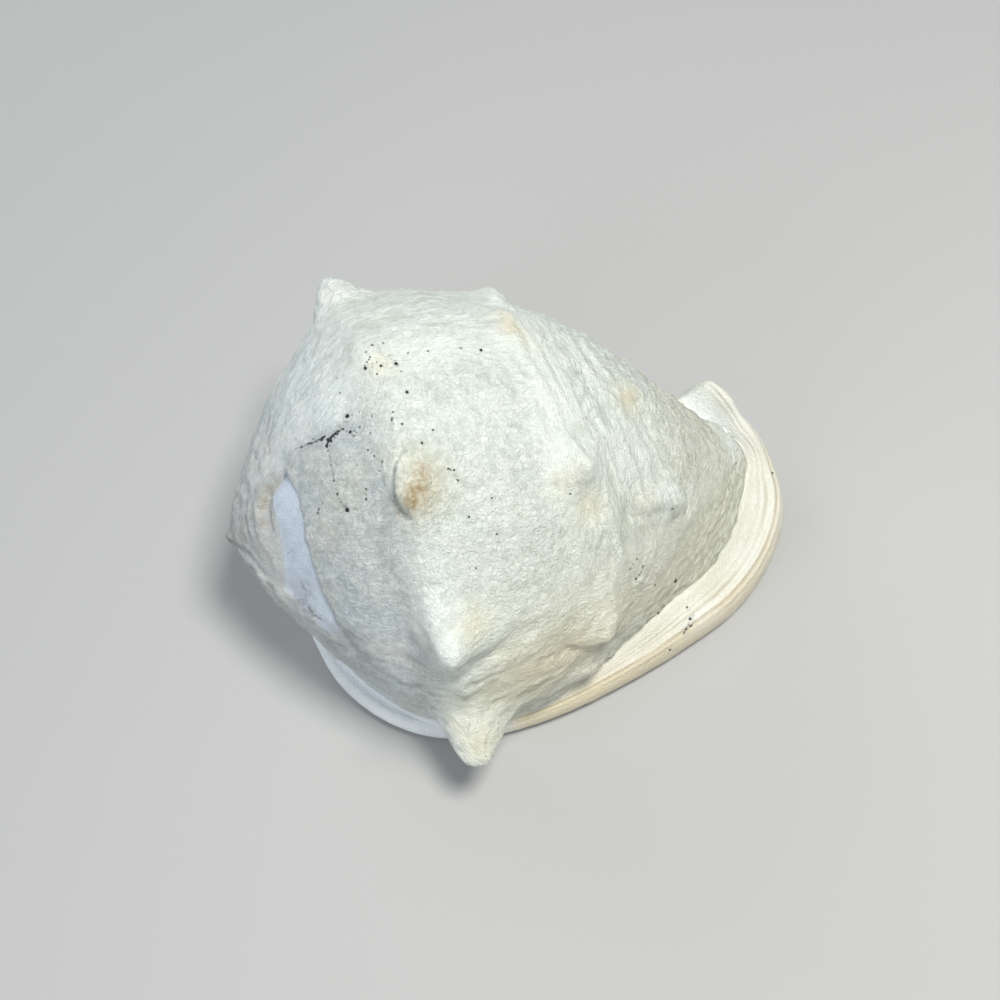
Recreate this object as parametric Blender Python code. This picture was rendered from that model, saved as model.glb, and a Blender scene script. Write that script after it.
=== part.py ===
"""Horned helmet shell, one closed solid whose whorl is hollow behind the aperture.

The mesh is one net of rings and columns. The rings start at the top of the dome, run down
the body whorl, round the lip and shield, across the underside, in through the aperture and
back along the inside of the whorl. Each column follows one place of the lip's edge.
"""
import math

import bpy
import numpy as np

# Lengths are millimetres until the mesh is made. x runs from the spire to the canal,
# y from the outer lip (minus) to the shield (plus), and z up from the table.
MILLIMETRE = 0.001
COLUMNS = 88
BODY_RINGS = 22
EDGE_RINGS = 9
UNDERSIDE_RINGS = 9
CAVITY_RINGS = 14

# The coiling axis starts at the apex and dips towards the canal.
AXIS_DIP = math.radians(12.0)
APEX = np.array([0.0, 0.0, 74.0])
AXIS = np.array([math.cos(AXIS_DIP), 0.0, -math.sin(AXIS_DIP)])
AXIS_UP = np.array([math.sin(AXIS_DIP), 0.0, math.cos(AXIS_DIP)])
LIP_WARD = np.array([0.0, -1.0, 0.0])
GROWTH_PER_TURN = 1.5
# The whorl grows between these angles and blends back to its start below the shell.
LIP_ANGLE = -10.0
SHIELD_ANGLE = 205.0
RAY_CENTRE = APEX + 96.0 * AXIS
BODY_GUIDES = 26
UP = np.array([0.0, 0.0, 1.0])

# Radius of the body whorl against distance along the axis, at the lip and far from it.
PROFILE_LIP = [
    (0, 0), (5, 13), (12, 26.5), (22, 44), (36, 64), (52, 82), (66, 93), (78, 98), (92, 99.5),
    (108, 98), (124, 92), (140, 85.5), (158, 77), (176, 66), (194, 51), (208, 36), (220, 20),
    (228, 0)]
PROFILE_FAR = [
    (0, 0), (5, 13), (12, 26.5), (22, 44), (36, 64), (52, 82), (66, 93), (78, 98), (92, 100.5),
    (108, 100.5), (124, 98), (140, 93.5), (158, 84), (176, 70.5), (194, 55), (210, 38),
    (226, 21), (240, 0)]

# The free edge from the canal along the lip to the back and home along the shield:
# x, y and z of its middle, half its thickness, and the height where it leaves the body.
EDGE = np.array([
    (216, 12, 42, 8.5, 46), (225, -4, 28, 9, 35), (231, -20, 16, 10, 25),
    (228, -41, 12, 11, 19), (214, -61, 10.5, 11, 18), (193, -76, 10, 11, 18),
    (168, -84.5, 9.5, 10.5, 18), (140, -91, 9, 9.5, 18), (110, -95, 8, 8, 20),
    (82, -94.5, 7.5, 7.5, 20), (57, -88, 7.5, 7.5, 19), (37, -74, 7.5, 8, 18),
    (22, -53, 7, 8, 18), (15, -30, 7, 8, 18), (13, -5, 7, 8, 18),
    (17, 25, 7, 8, 17), (33, 58, 7, 8, 17), (62, 83, 7, 8, 17),
    (95, 93, 7, 8, 17), (130, 89, 7, 8, 18), (160, 74, 7, 8, 23),
    (184, 49, 8, 8, 31), (201, 25, 20, 8, 42)], float)

# The aperture's edge, from its canal end along the lip side and home along the columella.
SLIT = np.array([
    (204, 9, 19), (199, -10, 11), (184, -25, 7), (160, -36, 6), (130, -41, 6),
    (100, -42, 6), (70, -40, 6.5), (50, -35, 8), (43, -29, 9), (48, -23, 8),
    (70, -22, 6.5), (100, -22, 6), (130, -20, 6), (160, -13, 7), (181, -3, 10),
    (195, 9, 16)], float)
TEETH_ROUND_SLIT = 22
TOOTH_DEPTH = 2.4
PLAIT_HEIGHT = 0.9
LIP_TEETH = (0.06, 0.12, 0.38, 0.44)
COLUMELLA_PLAITS = (0.56, 0.62, 0.88, 0.94)
MOUTH_ROUNDING = 6.0

# Horns and knobs: angle round the axis (0 at the lip side, 90 on top, 180 at the far side),
# distance along the axis, height and width.
KNOBS = [
    (140, 66, 13, 16), (97, 65, 4.5, 15), (60, 69, 9, 17), (24, 73, 14, 18), (-12, 80, 18, 17),
    (147, 130, 6, 15), (57, 131, 7, 15), (9, 133, 6.5, 15), (-12, 131, 4, 11),
    (80, 167, 3.5, 15), (37, 172, 5, 14), (178, 61, 13, 16), (204, 56, 8, 13)]
KNOB_STEEPNESS = 2.2
KNOB_BLUNTNESS = 0.03
NET_DRAW = 14.0
SHOULDER = 74.0
SHOULDER_HEIGHT = 1.6
SHOULDER_WIDTH = 9.0

# The hollow whorl: angle, first and last distance along the axis, columella radius,
# wall thickness and the lowest height it may reach.
THROAT = (-42, 52, 189, 46, 24, 0)
CAVITY = [
    (-36, 46, 189, 34, 17, 0), (-18, 36, 187, 24, 10, 0), (5, 29, 186, 17, 7, 0),
    (30, 27, 184, 15, 6.5, 0), (60, 26, 180, 14, 6, 0), (90, 25, 175, 13, 6, 0),
    (120, 24, 169, 13, 6, 0), (150, 23, 163, 12, 6, 0), (180, 23, 157, 12, 6, 9),
    (205, 24, 150, 12, 7, 9), (225, 28, 146, 12, 7, 9), (245, 34, 140, 13, 8, 9)]
CAVITY_END = (264, 46, 122, 18, 10, 10)
CAVITY_SQUARENESS = 0.45

COLOUR = (0.66, 0.66, 0.60, 1.0)
ROUGHNESS = 0.62


def through(points, x):
    """A smooth curve through the points, without overshoot."""
    known = np.asarray(points, float)
    at, value = known[:, 0], known[:, 1]
    step = np.diff(at)
    slope = np.diff(value) / step
    before, after = slope[:-1], slope[1:]
    same = before * after > 0
    mean = np.where(same, 2 * before * after / np.where(same, before + after, 1), 0.0)
    lean = np.concatenate([slope[:1], mean, slope[-1:]])
    x = np.clip(x, at[0], at[-1])
    i = np.clip(np.searchsorted(at, x, side="right") - 1, 0, len(at) - 2)
    wide = step[i]
    t = (x - at[i]) / wide
    start = (2 * t**3 - 3 * t**2 + 1) * value[i] + (t**3 - 2 * t**2 + t) * wide * lean[i]
    end = (3 * t**2 - 2 * t**3) * value[i + 1] + (t**3 - t**2) * wide * lean[i + 1]
    return start + end


def ease(low, high, x):
    """0 below low, 1 above high, smooth between."""
    t = np.clip((x - low) / (high - low), 0, 1)
    return t * t * (3 - 2 * t)


def spoke(angle):
    """Unit vector away from the axis at an angle in degrees."""
    turn = np.radians(np.asarray(angle, float))[..., None]
    return np.cos(turn) * LIP_WARD + np.sin(turn) * AXIS_UP


def upright(angle):
    """The same angle between -90 and 270, so that the jump is below the shell."""
    return (angle + 90) % 360 - 90


def growth(angle):
    """Scale of the whorl round the axis."""
    past_shield = np.where(angle > SHIELD_ANGLE, angle, angle + 360) - SHIELD_ANGLE
    hidden = (angle > SHIELD_ANGLE) | (angle < LIP_ANGLE)
    back = SHIELD_ANGLE - LIP_ANGLE
    blended = SHIELD_ANGLE - back * ease(0, 360 - back, past_shield)
    return GROWTH_PER_TURN ** (-np.where(hidden, blended, angle) / 360)


def whorl_radius(x, angle):
    """Distance from the axis to the body whorl's outside."""
    angle = upright(angle)
    scale = growth(angle)
    from_lip = np.where(angle > 200, 400 - angle, angle)
    far = ease(-10, 110, from_lip)
    lip_side = through(PROFILE_LIP, x / scale)
    return scale * ((1 - far) * lip_side + far * through(PROFILE_FAR, x / scale))


def round_axis(points):
    """Distance along the axis, distance from it, and angle round it."""
    away = points - APEX
    side, up = away @ LIP_WARD, away @ AXIS_UP
    return away @ AXIS, np.hypot(side, up), np.degrees(np.arctan2(up, side))


def body_points(heading, climb):
    """Where rays from inside the dome meet the body whorl, found by halving."""
    level = np.cos(climb)
    ray = np.stack([level * np.cos(heading), level * np.sin(heading), np.sin(climb)], -1)
    near, far = np.full(climb.shape, 1.0), np.full(climb.shape, 200.0)
    for _ in range(26):
        middle = (near + far) / 2
        x, radius, angle = round_axis(RAY_CENTRE + ray * middle[..., None])
        inside = (x > 0) & (radius < whorl_radius(x, angle))
        near, far = np.where(inside, middle, near), np.where(inside, far, middle)
    return RAY_CENTRE + ray * near[..., None]


def closed_curve(points, place):
    """A closed Catmull-Rom curve; place counts the points."""
    i = np.floor(place).astype(int)
    t = (place - i)[:, None]
    a, b, c, d = (points[(i + shift) % len(points)] for shift in (-1, 0, 1, 2))
    square, cube = 2 * a - 5 * b + 4 * c - d, 3 * b - a - 3 * c + d
    return b + 0.5 * t * (c - a + t * (square + t * cube))


def evenly(points, count):
    """Evenly spaced points along the closed curve."""
    fine = np.linspace(0, len(points), 40 * len(points) + 1)
    track = closed_curve(points, fine)[:, :3]
    length = np.concatenate([[0], np.cumsum(np.linalg.norm(np.diff(track, axis=0), axis=1))])
    return closed_curve(points, np.interp(np.arange(count) / count * length[-1], length, fine))


def outward(loop):
    """Level unit vectors pointing out of a loop that runs clockwise seen from above."""
    along = np.roll(loop, -1, 0) - np.roll(loop, 1, 0)
    across = np.stack([-along[:, 1], along[:, 0], np.zeros(len(loop))], -1)
    across /= np.linalg.norm(across, axis=1, keepdims=True)
    return across * np.sign(np.sum(across * (loop - loop.mean(0)) * (1, 1, 0)))


def cavity_ring(columns, angle, first, last, columella, wall, lowest):
    """One section of the hollow whorl, in the half plane at this angle."""
    turn = 2 * np.pi * np.arange(columns) / columns
    x = (first + last) / 2 + (last - first) / 2 * np.cos(turn)
    out = spoke(angle)
    outer = whorl_radius(x, np.full(columns, float(angle))) - wall
    on_axis = APEX + AXIS * x[:, None]
    if out[2] < -0.05:
        outer = np.minimum(outer, (lowest - on_axis[:, 2]) / out[2])
    slimmer_at_canal = 1 - 0.75 * ease(120, 195, x)
    inner = np.minimum(columella * slimmer_at_canal, outer - 4)
    swing = np.sign(np.sin(turn)) * np.abs(np.sin(turn)) ** CAVITY_SQUARENESS
    return on_axis + out * ((outer + inner) / 2 + (outer - inner) / 2 * swing)[:, None]


def between(share, limits):
    """1 where the share lies between the middle two limits, easing to 0 at the outer two."""
    return ease(limits[0], limits[1], share) * (1 - ease(limits[2], limits[3], share))


def body_rings(heading, root_height):
    """Rings from the crown down the body whorl to the root of the lip and shield."""
    low, high = np.full(len(heading), -1.2), np.full(len(heading), 0.9)
    for _ in range(22):
        middle = (low + high) / 2
        above = body_points(heading, middle)[:, 2] > root_height
        low, high = np.where(above, low, middle), np.where(above, middle, high)
    steps = np.arange(BODY_GUIDES + 1)[:, None] / BODY_GUIDES
    return list(body_points(heading, np.pi / 2 + (low - np.pi / 2) * steps))


def edge_rings(rim, half, out, root):
    """Rings over the lip and shield from the root and round the free edge."""
    reach = 1 - 0.6 * ease(14, 34, rim[:, 2:])
    room = np.sum((rim - root) * out, axis=1, keepdims=True)
    shelf = rim - np.clip(0.5 * room, 1, 9 * reach) * out + (half - 1) * UP
    gap = shelf - root
    dip = (0.8 + 6 * (1 - reach)) * UP
    rings = [root + 0.14 * gap - dip, root + 0.45 * gap - 1.4 * dip, shelf]
    for inset, rise in [(2.5, 0.95), (-0.6, 0.45), (-0.6, -0.3), (1.5, -0.85)]:
        rings.append(rim - inset * reach * out + rise * half * UP)
    return rings


def underside_rings(rim, half, out, slit):
    """Rings across the flat ring and the underside, and in over the aperture's teeth."""
    reach = 1 - 0.6 * ease(14, 34, rim[:, 2:])
    slit_out = outward(slit)
    narrow = 1 - 0.7 * ease(9, 20, slit[:, 2:])
    mouth = slit + MOUTH_ROUNDING * narrow * slit_out - 2.2 * UP
    across = np.sum((rim - mouth) * out, axis=1, keepdims=True)
    rings = []
    for inset, rise in [(6, -1.05), (12, -1.05), (18, -0.95)]:
        rings.append(rim - inset * np.minimum(reach, across / 24) * out + rise * half * UP)
    flat = rings[-1]
    for share, rise in [(0.2, 1.5), (0.5, 0.5), (0.8, 0.3)]:
        rings.append(flat + share * (mouth - flat) + rise * UP)
    share = np.arange(len(slit)) / len(slit)
    wave = 2 * np.pi * TEETH_ROUND_SLIT * share
    tooth = TOOTH_DEPTH * between(share, LIP_TEETH) * (0.5 - 0.5 * np.cos(wave))
    plait = PLAIT_HEIGHT * between(share, COLUMELLA_PLAITS) * np.cos(2 * wave)
    cut = -slit_out * (tooth + plait)[:, None]
    inward = narrow * UP
    rings.append(mouth - 0.4 * tooth[:, None] * UP)
    rings.append(slit + 1.5 * narrow * slit_out - 0.8 * UP + cut)
    rings.append(slit + 1.5 * inward + cut)
    rings.append(slit + 6 * inward + 0.5 * cut)
    return rings, slit + 12 * inward


def cavity_rings(throat):
    """Rings from the throat round the columella to the point where the hollow ends."""
    columns = len(throat)
    rings = [0.5 * cavity_ring(columns, *THROAT) + 0.5 * throat]
    rings += [cavity_ring(columns, *section) for section in CAVITY]
    end = cavity_ring(columns, *CAVITY_END)
    return rings + [0.6 * end + 0.4 * end.mean(0), np.repeat(end.mean(0)[None], columns, 0)]


def guide_rings(columns):
    """The rings that the surface is drawn through, and the last ring of each zone."""
    edge = evenly(EDGE, columns)
    rim, half = edge[:, :3], edge[:, 3:4]
    out = outward(rim)
    heading = np.arctan2(rim[:, 1] - RAY_CENTRE[1], rim[:, 0] - RAY_CENTRE[0])
    body = body_rings(heading, edge[:, 4])
    around = edge_rings(rim, half, out, body[-1])
    under, throat = underside_rings(rim, half, out, evenly(SLIT, columns))
    zones = [body, around, under, cavity_rings(throat)]
    ends = np.cumsum([len(zone) for zone in zones]) - 1
    return np.concatenate(zones), ends


def drawn_through(rings, place):
    """Rings of the surface at fractional places among the guide rings, by a cubic B-spline."""
    before, after = 2 * rings[:1] - rings[1:2], 2 * rings[-1:] - rings[-2:-1]
    padded = np.concatenate([before, rings, after])
    i = np.clip(np.floor(place).astype(int), 0, len(rings) - 2)
    t = (place - i)[:, None, None]
    weights = ((1 - t)**3, 3 * t**3 - 6 * t**2 + 4, 3 * t + 3 * t**2 - 3 * t**3 + 1, t**3)
    return sum(weight * padded[i + shift] for shift, weight in enumerate(weights)) / 6


def knob_frames():
    """Foot, outward direction, height and width of each knob."""
    for angle, x, height, width in KNOBS:
        out = spoke(angle)
        radius = whorl_radius(np.array([x - 3.0, x, x + 3.0]), np.full(3, float(angle)))
        slope = (radius[2] - radius[0]) / 6
        direction = (out - slope * AXIS) / math.hypot(1, slope)
        yield APEX + AXIS * x + out * radius[1], direction, height, width


def with_knobs(points, free):
    """Raise the shoulder and the knobs, each with a net point drawn onto its tip first.

    free says how far each ring may move, 1 on the open body and 0 from the root on.
    """
    x, _, angle = round_axis(points)
    across = (x / growth(upright(angle)) - SHOULDER) / SHOULDER_WIDTH
    cord = SHOULDER_HEIGHT * np.exp(-across**2) * free
    raised = points + spoke(angle) * cord[..., None]
    for foot, direction, height, width in knob_frames():
        gap = foot - points
        near = np.unravel_index(np.argmin(np.linalg.norm(gap, axis=-1)), gap.shape[:-1])
        spread = np.linalg.norm(points - points[near], axis=-1) / NET_DRAW
        drawn = gap[near] * (free * np.exp(-spread**2))[..., None]
        points, raised = points + drawn, raised + drawn
    for foot, direction, height, width in knob_frames():
        gap = points - foot
        depth = gap @ direction
        aside = np.linalg.norm(gap - depth[..., None] * direction, axis=-1) / width
        blunt = np.sqrt(aside**2 + KNOB_BLUNTNESS) - math.sqrt(KNOB_BLUNTNESS)
        on_this_side = ease(-40, -20, depth) * free
        lift = height * np.exp(-KNOB_STEEPNESS * blunt**1.5) * on_this_side
        raised = raised + direction * lift[..., None]
    return raised


def shell_net():
    """The whole surface as rings by columns, in millimetres."""
    rings, (body, edge, underside, last) = guide_rings(COLUMNS)
    place = np.concatenate([
        np.linspace(0, body, BODY_RINGS, endpoint=False),
        np.linspace(body, edge, EDGE_RINGS, endpoint=False),
        np.linspace(edge, underside, UNDERSIDE_RINGS, endpoint=False),
        np.linspace(underside, last, CAVITY_RINGS)])
    free = 1 - ease(body - 3, body, place)[:, None]
    net = with_knobs(drawn_through(rings, place), free)
    net[..., 2] = np.maximum(net[..., 2], 0)
    low, high = net.min((0, 1)), net.max((0, 1))
    return net - ((low + high) / 2 * (1, 1, 0))


def shell_mesh(name):
    """Mesh of the net, with one vertex at the crown and one at the end of the hollow."""
    net = shell_net() * MILLIMETRE
    count, columns = net.shape[:2]
    verts = np.concatenate([net[:1, 0], net[1:-1].reshape(-1, 3), net[-1:, 0]])
    last = len(verts) - 1
    faces = []
    for column in range(columns):
        beside = (column + 1) % columns
        faces.append((0, 1 + beside, 1 + column))
        for ring in range(count - 3):
            here = 1 + ring * columns
            below = here + columns
            faces.append((here + column, here + beside, below + beside, below + column))
        final = 1 + (count - 3) * columns
        faces.append((last, final + column, final + beside))
    mesh = bpy.data.meshes.new(name)
    mesh.from_pydata(verts.tolist(), [], faces)
    mesh.shade_smooth()
    return mesh


def shell_material():
    material = bpy.data.materials.new("bleached_shell")
    material.use_nodes = True
    shader = material.node_tree.nodes["Principled BSDF"]
    shader.inputs["Base Color"].default_value = COLOUR
    shader.inputs["Roughness"].default_value = ROUGHNESS
    return material


for old in list(bpy.data.objects):
    bpy.data.objects.remove(old)
shell = bpy.data.objects.new("helmet_shell", shell_mesh("helmet_shell"))
shell.data.materials.append(shell_material())
bpy.context.scene.collection.objects.link(shell)
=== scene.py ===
"""A bleached horned helmet shell: crumpled back, horns, cream lip, glazed underside.

The whole outside and the hollow whorl are one closed net of rings and columns. The rings
run from the crown down the body, round the lip and shield, across the underside, in
between the teeth and back along the hollow. Relief is raised along the net's normals, and
marks seen in the photograph are laid on the net through the photograph's camera.
"""
import itertools
import math

import bpy
import numpy as np
from mathutils import Matrix, Vector


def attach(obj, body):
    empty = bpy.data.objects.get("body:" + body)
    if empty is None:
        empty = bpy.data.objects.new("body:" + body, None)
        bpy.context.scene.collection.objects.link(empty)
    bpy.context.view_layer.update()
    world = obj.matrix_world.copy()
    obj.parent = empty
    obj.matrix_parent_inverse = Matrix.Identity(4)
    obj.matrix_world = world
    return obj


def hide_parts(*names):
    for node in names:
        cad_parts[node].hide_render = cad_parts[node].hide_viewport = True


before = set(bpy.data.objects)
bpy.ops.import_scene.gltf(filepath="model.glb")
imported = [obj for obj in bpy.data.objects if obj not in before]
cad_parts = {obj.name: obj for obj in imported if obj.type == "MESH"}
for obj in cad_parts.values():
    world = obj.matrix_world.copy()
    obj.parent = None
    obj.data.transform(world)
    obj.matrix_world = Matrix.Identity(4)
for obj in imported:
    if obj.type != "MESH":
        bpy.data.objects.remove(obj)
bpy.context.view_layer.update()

# Lengths are millimetres until the mesh is made. x runs from the spire to the canal,
# y from the outer lip (minus) to the shield (plus), and z up from the table.
MILLIMETRE = 0.001
SOLID_NET = (88, 22, 9, 9, 14)
SKIN_NET = (400, 148, 60, 24, 16)

# The coiling axis starts at the apex and dips towards the canal.
AXIS_DIP = math.radians(12.0)
APEX = np.array([0.0, 0.0, 74.0])
AXIS = np.array([math.cos(AXIS_DIP), 0.0, -math.sin(AXIS_DIP)])
AXIS_UP = np.array([math.sin(AXIS_DIP), 0.0, math.cos(AXIS_DIP)])
LIP_WARD = np.array([0.0, -1.0, 0.0])
GROWTH_PER_TURN = 1.5
LIP_ANGLE = -10.0
SHIELD_ANGLE = 205.0
RAY_CENTRE = APEX + 96.0 * AXIS
BODY_GUIDES = 26
UP = np.array([0.0, 0.0, 1.0])

# Radius of the body whorl against distance along the axis, at the lip and far from it.
PROFILE_LIP = [
    (0, 0), (5, 13), (12, 26.5), (22, 44), (36, 64), (52, 82), (66, 93), (78, 98), (92, 99.5),
    (108, 98), (124, 92), (140, 85.5), (158, 77), (176, 66), (194, 51), (208, 36), (220, 20),
    (228, 0)]
PROFILE_FAR = [
    (0, 0), (5, 13), (12, 26.5), (22, 44), (36, 64), (52, 82), (66, 93), (78, 98), (92, 100.5),
    (108, 100.5), (124, 98), (140, 93.5), (158, 84), (176, 70.5), (194, 55), (210, 38),
    (226, 21), (240, 0)]

# The free edge from the canal along the lip to the back and home along the shield:
# x, y and z of its middle, half its thickness, and the height where it leaves the body.
EDGE = np.array([
    (216, 12, 42, 8.5, 46), (225, -4, 28, 9, 35), (231, -20, 16, 10, 25),
    (228, -41, 12, 11, 19), (214, -61, 10.5, 11, 18), (193, -76, 10, 11, 18),
    (168, -84.5, 9.5, 10.5, 18), (140, -91, 9, 9.5, 18), (110, -95, 8, 8, 20),
    (82, -94.5, 7.5, 7.5, 20), (57, -88, 7.5, 7.5, 19), (37, -74, 7.5, 8, 18),
    (22, -53, 7, 8, 18), (15, -30, 7, 8, 18), (13, -5, 7, 8, 18),
    (17, 25, 7, 8, 17), (33, 58, 7, 8, 17), (62, 83, 7, 8, 17),
    (95, 93, 7, 8, 17), (130, 89, 7, 8, 18), (160, 74, 7, 8, 23),
    (184, 49, 8, 8, 31), (201, 25, 20, 8, 42)], float)

# The aperture's edge, from its canal end along the lip side and home along the columella.
SLIT = np.array([
    (204, 9, 19), (199, -10, 11), (184, -25, 7), (160, -36, 6), (130, -41, 6),
    (100, -42, 6), (70, -40, 6.5), (50, -35, 8), (43, -29, 9), (48, -23, 8),
    (70, -22, 6.5), (100, -22, 6), (130, -20, 6), (160, -13, 7), (181, -3, 10),
    (195, 9, 16)], float)
TEETH_ROUND_SLIT = 22
TOOTH_DEPTH = 2.4
PLAIT_HEIGHT = 0.9
LIP_TEETH = (0.06, 0.12, 0.38, 0.44)
COLUMELLA_PLAITS = (0.56, 0.62, 0.88, 0.94)
MOUTH_ROUNDING = 6.0

# Horns and knobs: angle round the axis (0 at the lip side, 90 on top, 180 at the far side),
# distance along the axis, height, width, roundness and how much narrower the spire side is.
SOLID_KNOBS = [
    (140, 66, 13, 16, 1.5, 1), (97, 65, 4.5, 15, 1.5, 1), (60, 69, 9, 17, 1.5, 1),
    (24, 73, 14, 18, 1.5, 1), (-12, 80, 18, 17, 1.5, 1), (147, 130, 6, 15, 1.5, 1),
    (57, 131, 7, 15, 1.5, 1), (9, 133, 6.5, 15, 1.5, 1), (-12, 131, 4, 11, 1.5, 1),
    (80, 167, 3.5, 15, 1.5, 1), (37, 172, 5, 14, 1.5, 1), (178, 61, 13, 16, 1.5, 1),
    (204, 56, 8, 13, 1.5, 1)]
KNOBS = [
    (140, 66, 12.7, 12.5, 1.9, 1.0), (97, 65, 5, 14, 1.6, 1.2), (60, 69, 9.5, 15, 1.5, 1.35),
    (24, 73, 15, 16.5, 1.3, 1.35), (-12, 80, 20.4, 14.2, 2.3, 1.0), (147, 130, 6.3, 13, 1.6, 1.0),
    (57, 131, 9.0, 12.5, 1.3, 1.2), (9, 133, 7.8, 12.5, 1.35, 1.2), (-12, 131, 4.6, 10, 1.5, 1.0),
    (80, 167, 4.6, 13, 1.5, 1.0), (37, 172, 7.4, 11.5, 1.3, 1.2), (178, 61, 13, 16, 1.5, 1.0),
    (204, 56, 8, 13, 1.5, 1.0)]
KNOB_STEEPNESS = 2.2
KNOB_BLUNTNESS = 0.03
NET_DRAW = 14.0
SHOULDER = 74.0
SHOULDER_HEIGHT = 1.6
SHOULDER_WIDTH = 9.0

# The hollow whorl: angle, first and last distance along the axis, columella radius,
# wall thickness and the lowest height it may reach.
THROAT = (-42, 52, 189, 46, 24, 0)
CAVITY = [
    (-36, 46, 189, 34, 17, 0), (-18, 36, 187, 24, 10, 0), (5, 29, 186, 17, 7, 0),
    (30, 27, 184, 15, 6.5, 0), (60, 26, 180, 14, 6, 0), (90, 25, 175, 13, 6, 0),
    (120, 24, 169, 13, 6, 0), (150, 23, 163, 12, 6, 0), (180, 23, 157, 12, 6, 9),
    (205, 24, 150, 12, 7, 9), (225, 28, 146, 12, 7, 9), (245, 34, 140, 13, 8, 9)]
CAVITY_END = (264, 46, 122, 18, 10, 10)
CAVITY_SQUARENESS = 0.45

# The photograph's camera: it looks down from the lip side and is rolled to the left.
PHOTO_SIZE = 1000
PHOTO_FOCAL_PIXELS = 1551.0
PHOTO_TARGET = np.array([-4.07, -7.58, 60.0])
PHOTO_DISTANCE = 650.0
PHOTO_ELEVATION = math.radians(60.0)
PHOTO_ROLL = math.radians(18.9)
SENSOR = 36.0

# Worm borings in the photograph: pixel across, pixel down, radius in mm.
BORINGS = [
    (372, 345, 0.55), (390, 355, 0.45), (396, 364, 0.75), (381, 366, 0.5), (365, 368, 0.7),
    (407, 392, 0.6), (347, 416, 0.95), (350, 432, 0.7), (354, 436, 0.4), (392, 420, 0.45),
    (393, 412, 0.35), (402, 424, 0.4), (433, 430, 0.4), (422, 443, 0.55), (368, 450, 0.4),
    (374, 456, 0.4), (382, 462, 0.55), (379, 471, 0.3), (461, 348, 0.5), (481, 350, 0.55),
    (428, 351, 0.35), (408, 353, 0.35), (454, 470, 0.4), (448, 469, 0.4), (458, 480, 0.5),
    (347, 510, 0.95), (318, 513, 0.5), (337, 494, 0.5), (334, 481, 0.4), (366, 499, 0.45),
    (366, 489, 0.4), (469, 517, 0.4), (492, 498, 0.35), (337, 378, 0.3), (340, 393, 0.35),
    (359, 412, 0.35), (372, 416, 0.35), (360, 427, 0.45), (370, 433, 0.45), (497, 534, 0.4),
    (476, 568, 0.4), (570, 494, 0.35), (672, 509, 0.5), (676, 581, 0.85), (655, 585, 0.5),
    (643, 566, 0.4), (630, 569, 0.45), (636, 579, 0.45), (642, 583, 0.4), (641, 572, 0.35),
    (637, 559, 0.35), (658, 613, 0.6), (670, 650, 0.5), (687, 607, 0.45), (302, 447, 0.5),
    (308, 444, 0.4), (312, 443, 0.55), (317, 441, 0.4), (322, 439, 0.75), (693, 615, 0.4),
    (690, 619, 0.55), (688, 624, 0.35), (692, 625, 0.3), (686, 629, 0.5), (684, 634, 0.3),
    (328, 451, 0.35), (330, 459, 0.25), (331, 465, 0.3), (334, 474, 0.22), (341, 502, 0.25),
    (319, 509, 0.35), (296, 449, 0.25), (313, 439, 0.3), (325, 436, 0.4), (331, 441, 0.6),
    (337, 434, 0.55), (343, 429, 0.35), (366, 352, 0.35), (370, 357, 0.4), (383, 343, 0.35),
    (401, 371, 0.3), (377, 374, 0.35), (367, 362, 0.3)]

# Lines of damage in the photograph: half width in mm, strength, then pixels across and down.
CRACKS = [
    (0.7, 1.0, [(327, 446), (329, 441), (332, 437)]),
    (0.45, 1.0, [(332, 437), (338, 431), (343, 429)]),
    (0.15, 0.45, [(328, 447), (330, 457), (331, 465), (334, 481), (337, 494), (343, 505),
                  (347, 510)]),
    (0.12, 0.43, [(294, 449), (302, 447), (312, 443), (324, 439)]),
    (0.12, 0.45, [(347, 510), (354, 510), (363, 506)]),
    (0.22, 0.6, [(771, 454), (773, 464), (772, 476)]),
    (0.10, 0.42, [(284, 500), (292, 536), (300, 570)]),
    (0.10, 0.45, [(277, 560), (290, 552), (306, 538)])]

# Marks fade out over these distances in mm; beyond them their vector has this length.
BORING_FADE = (2.2, 3.4)
CRACK_FADE = (1.8, 3.0)
FAR_AWAY = 9.0

# Stains in the photograph, painted highlights and painted shade among them: pixel across and
# down, reach in mm, strength.
# Pale stains, and painted highlights on the lit tops of knobs and horns and on the lit middle of
# the body.
WHITE_STAINS_AND_HIGHLIGHTS = [
    (712, 424, 9, 1.0), (732, 446, 7, 0.9), (700, 406, 7, 0.9), (436, 600, 9, 0.9),
    (444, 625, 7, 0.8), (428, 565, 9, 0.8), (598, 622, 8, 0.7), (664, 494, 8, 0.8),
    (560, 464, 8, 0.7), (510, 424, 8, 0.6), (455, 415, 12, 0.5), (378, 385, 12, 0.5),
    (640, 385, 7, 0.7), (476, 725, 7, 0.6), (545, 560, 22, 0.35), (640, 470, 9, 0.6),
    (500, 300, 9, 0.5), (650, 440, 7, 0.4), (700, 612, 9, 0.3), (740, 560, 8, 0.25)]
# Tan stains; the four near 270 across are painted shade cast by the broken layer's step beside the
# spire.
BROWN_STAINS_AND_STEP_SHADE = [
    (419, 478, 3.6, 0.7), (413, 492, 3.6, 0.9), (409, 502, 2.6, 0.9), (424, 466, 3.0, 0.4),
    (418, 508, 3.6, 0.5), (429, 488, 5.0, 0.3), (403, 511, 2.4, 0.6), (269, 490, 2.8, 0.75),
    (277, 479, 2.6, 0.7), (264, 504, 2.8, 0.75), (265, 522, 2.6, 0.6), (511, 330, 3.0, 0.25),
    (626, 396, 3.0, 0.25)]
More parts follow.
